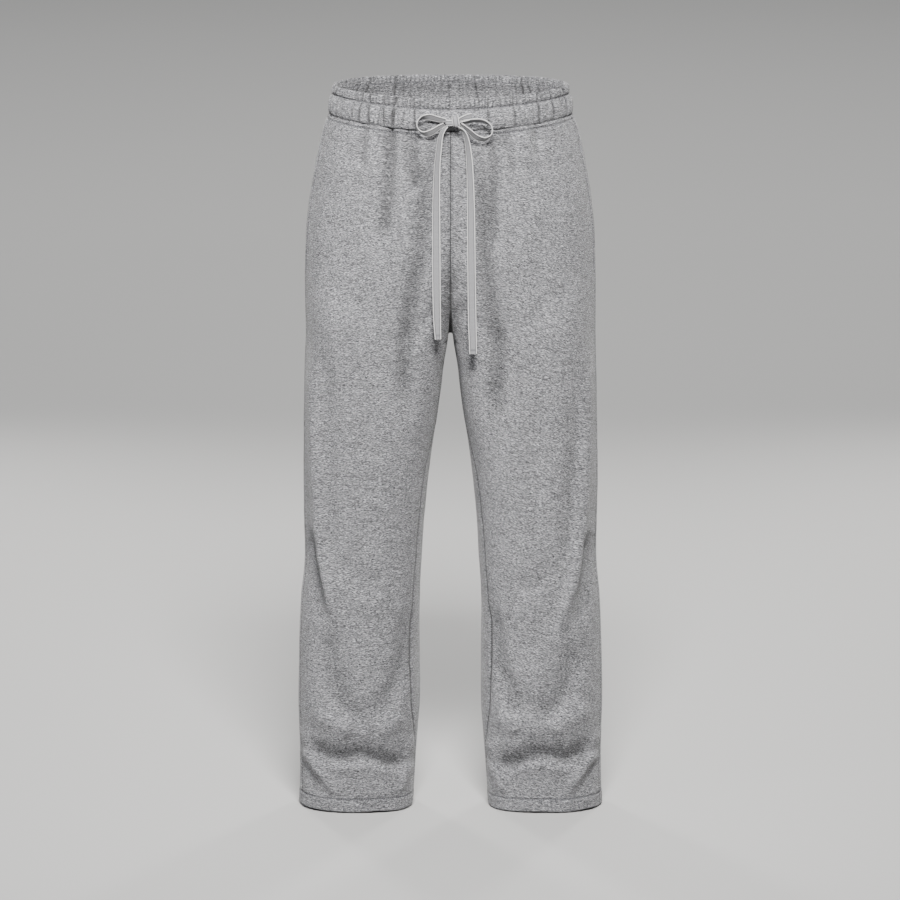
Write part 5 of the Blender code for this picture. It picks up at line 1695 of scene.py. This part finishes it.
def sewTailEnds():
    # the turned and stitched ends of the two tails
    for sideName, tail in tails.items():
        tree = surfaceOf(tail)
        x, y, z, breadth, _ = cordLook[f"tail{sideName}"][-1]
        stitches = []
        for up in tailEnd["rows"]:
            for offset in np.linspace(-tailEnd["half"], tailEnd["half"], tailEnd["count"]) * breadth:
                for place, out in castBack(tree, x + offset, y, z + up, tailEnd["castFrom"]):
                    stitches.append((place, (1.0, 0.0, 0.0), out, sewing["tail"]))
        sewPiece(f"tailStitches{sideName}", stitches, "darkThread")


bandSewing = sewBand()
sewHems()
sewPockets()
sewButtonholes()
sewTailEnds()
print("sewing made")

# floor and light
studio = {
    "floorHeight": -1.0222,
    "floorSize": 160.0,
    "floorMiddle": 40.0,
    "floor": (0.40, 0.397, 0.392),
    "floorTones": ((0.3, 0.985), (0.7, 1.0)),
    "floorRoughness": 0.85,
    "skyLow": (0.022, 0.023, 0.025),  # the sky at the height of the floor's edge, and overhead
    "skyHigh": (0.96, 0.98, 1.0),
    "skyRise": (0.30, 0.95),
    "skyStrength": 0.56,
    # name, place, what it points at, breadth, height, spread, power, tint
    "lamps": [
        ("keyLamp", (0.12, -2.85, 2.3), (0.0, 0.0, -0.42), 0.9, 0.9, 70.0, 73.0, (1.0, 0.99, 0.975)),
        ("fillLamp", (-2.2, -1.9, 0.2), (0.0, 0.0, -0.5), 0.9, 1.6, 120.0, 6.5, (0.95, 0.97, 1.0)),
        ("rimLampLeft", (-1.1, 2.6, 0.4), (0.0, 0.0, -0.5), 0.3, 1.8, 120.0, 22.0, (1.0, 0.985, 0.96)),
        ("rimLampRight", (1.1, 2.6, 0.4), (0.0, 0.0, -0.5), 0.3, 1.8, 120.0, 22.0, (1.0, 0.985, 0.96)),
        ("backdropLamp", (0.0, 4.8, 3.6), (0.0, 4.9, -1.0), 6.0, 4.0, 150.0, 190.0, (1.0, 0.995, 0.985)),
    ],
}


def makeFloor():
    bpy.ops.object.select_all(action="DESELECT")
    place = (0.0, studio["floorMiddle"], studio["floorHeight"])
    bpy.ops.mesh.primitive_plane_add(size=studio["floorSize"], location=place)
    floor = bpy.context.object
    floor.name = "floor"
    sheet = NodeSheet("paleFloor")
    grain = sheet.noise(sheet.add("ShaderNodeTexCoord").outputs["Object"], 0.8)
    tone = sheet.shades(grain, studio["floor"], studio["floorTones"])
    floor.data.materials.append(sheet.close(tone, studio["floorRoughness"]))


def makeSky():
    world = bpy.data.worlds.new("studioSky")
    bpy.context.scene.world = world
    world.use_nodes = True
    tree = world.node_tree
    sky = tree.nodes["Background"]
    sky.inputs["Strength"].default_value = studio["skyStrength"]
    facing = tree.nodes.new("ShaderNodeTexCoord")
    parts = tree.nodes.new("ShaderNodeSeparateXYZ")
    rise = tree.nodes.new("ShaderNodeValToRGB")
    points = rise.color_ramp.elements
    for point, place, colour in zip(points, studio["skyRise"], (studio["skyLow"], studio["skyHigh"])):
        point.position = place
        point.color = (*colour, 1.0)
    tree.links.new(facing.outputs["Generated"], parts.inputs["Vector"])
    tree.links.new(parts.outputs["Z"], rise.inputs["Fac"])
    tree.links.new(rise.outputs["Color"], sky.inputs["Color"])


def makeLamps():
    for name, place, target, breadth, height, spread, power, tint in studio["lamps"]:
        bpy.ops.object.light_add(type="AREA", location=place)
        lamp = bpy.context.object
        lamp.name = name
        lamp.data.shape = "RECTANGLE"
        lamp.data.size, lamp.data.size_y = breadth, height
        lamp.data.energy = power
        lamp.data.spread = math.radians(spread)
        lamp.data.color = tint
        lamp.rotation_euler = (Vector(target) - Vector(place)).to_track_quat("-Z", "Y").to_euler()


makeFloor()
makeSky()
makeLamps()
print("studio lit")

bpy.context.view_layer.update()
bpy.ops.object.select_all(action="DESELECT")
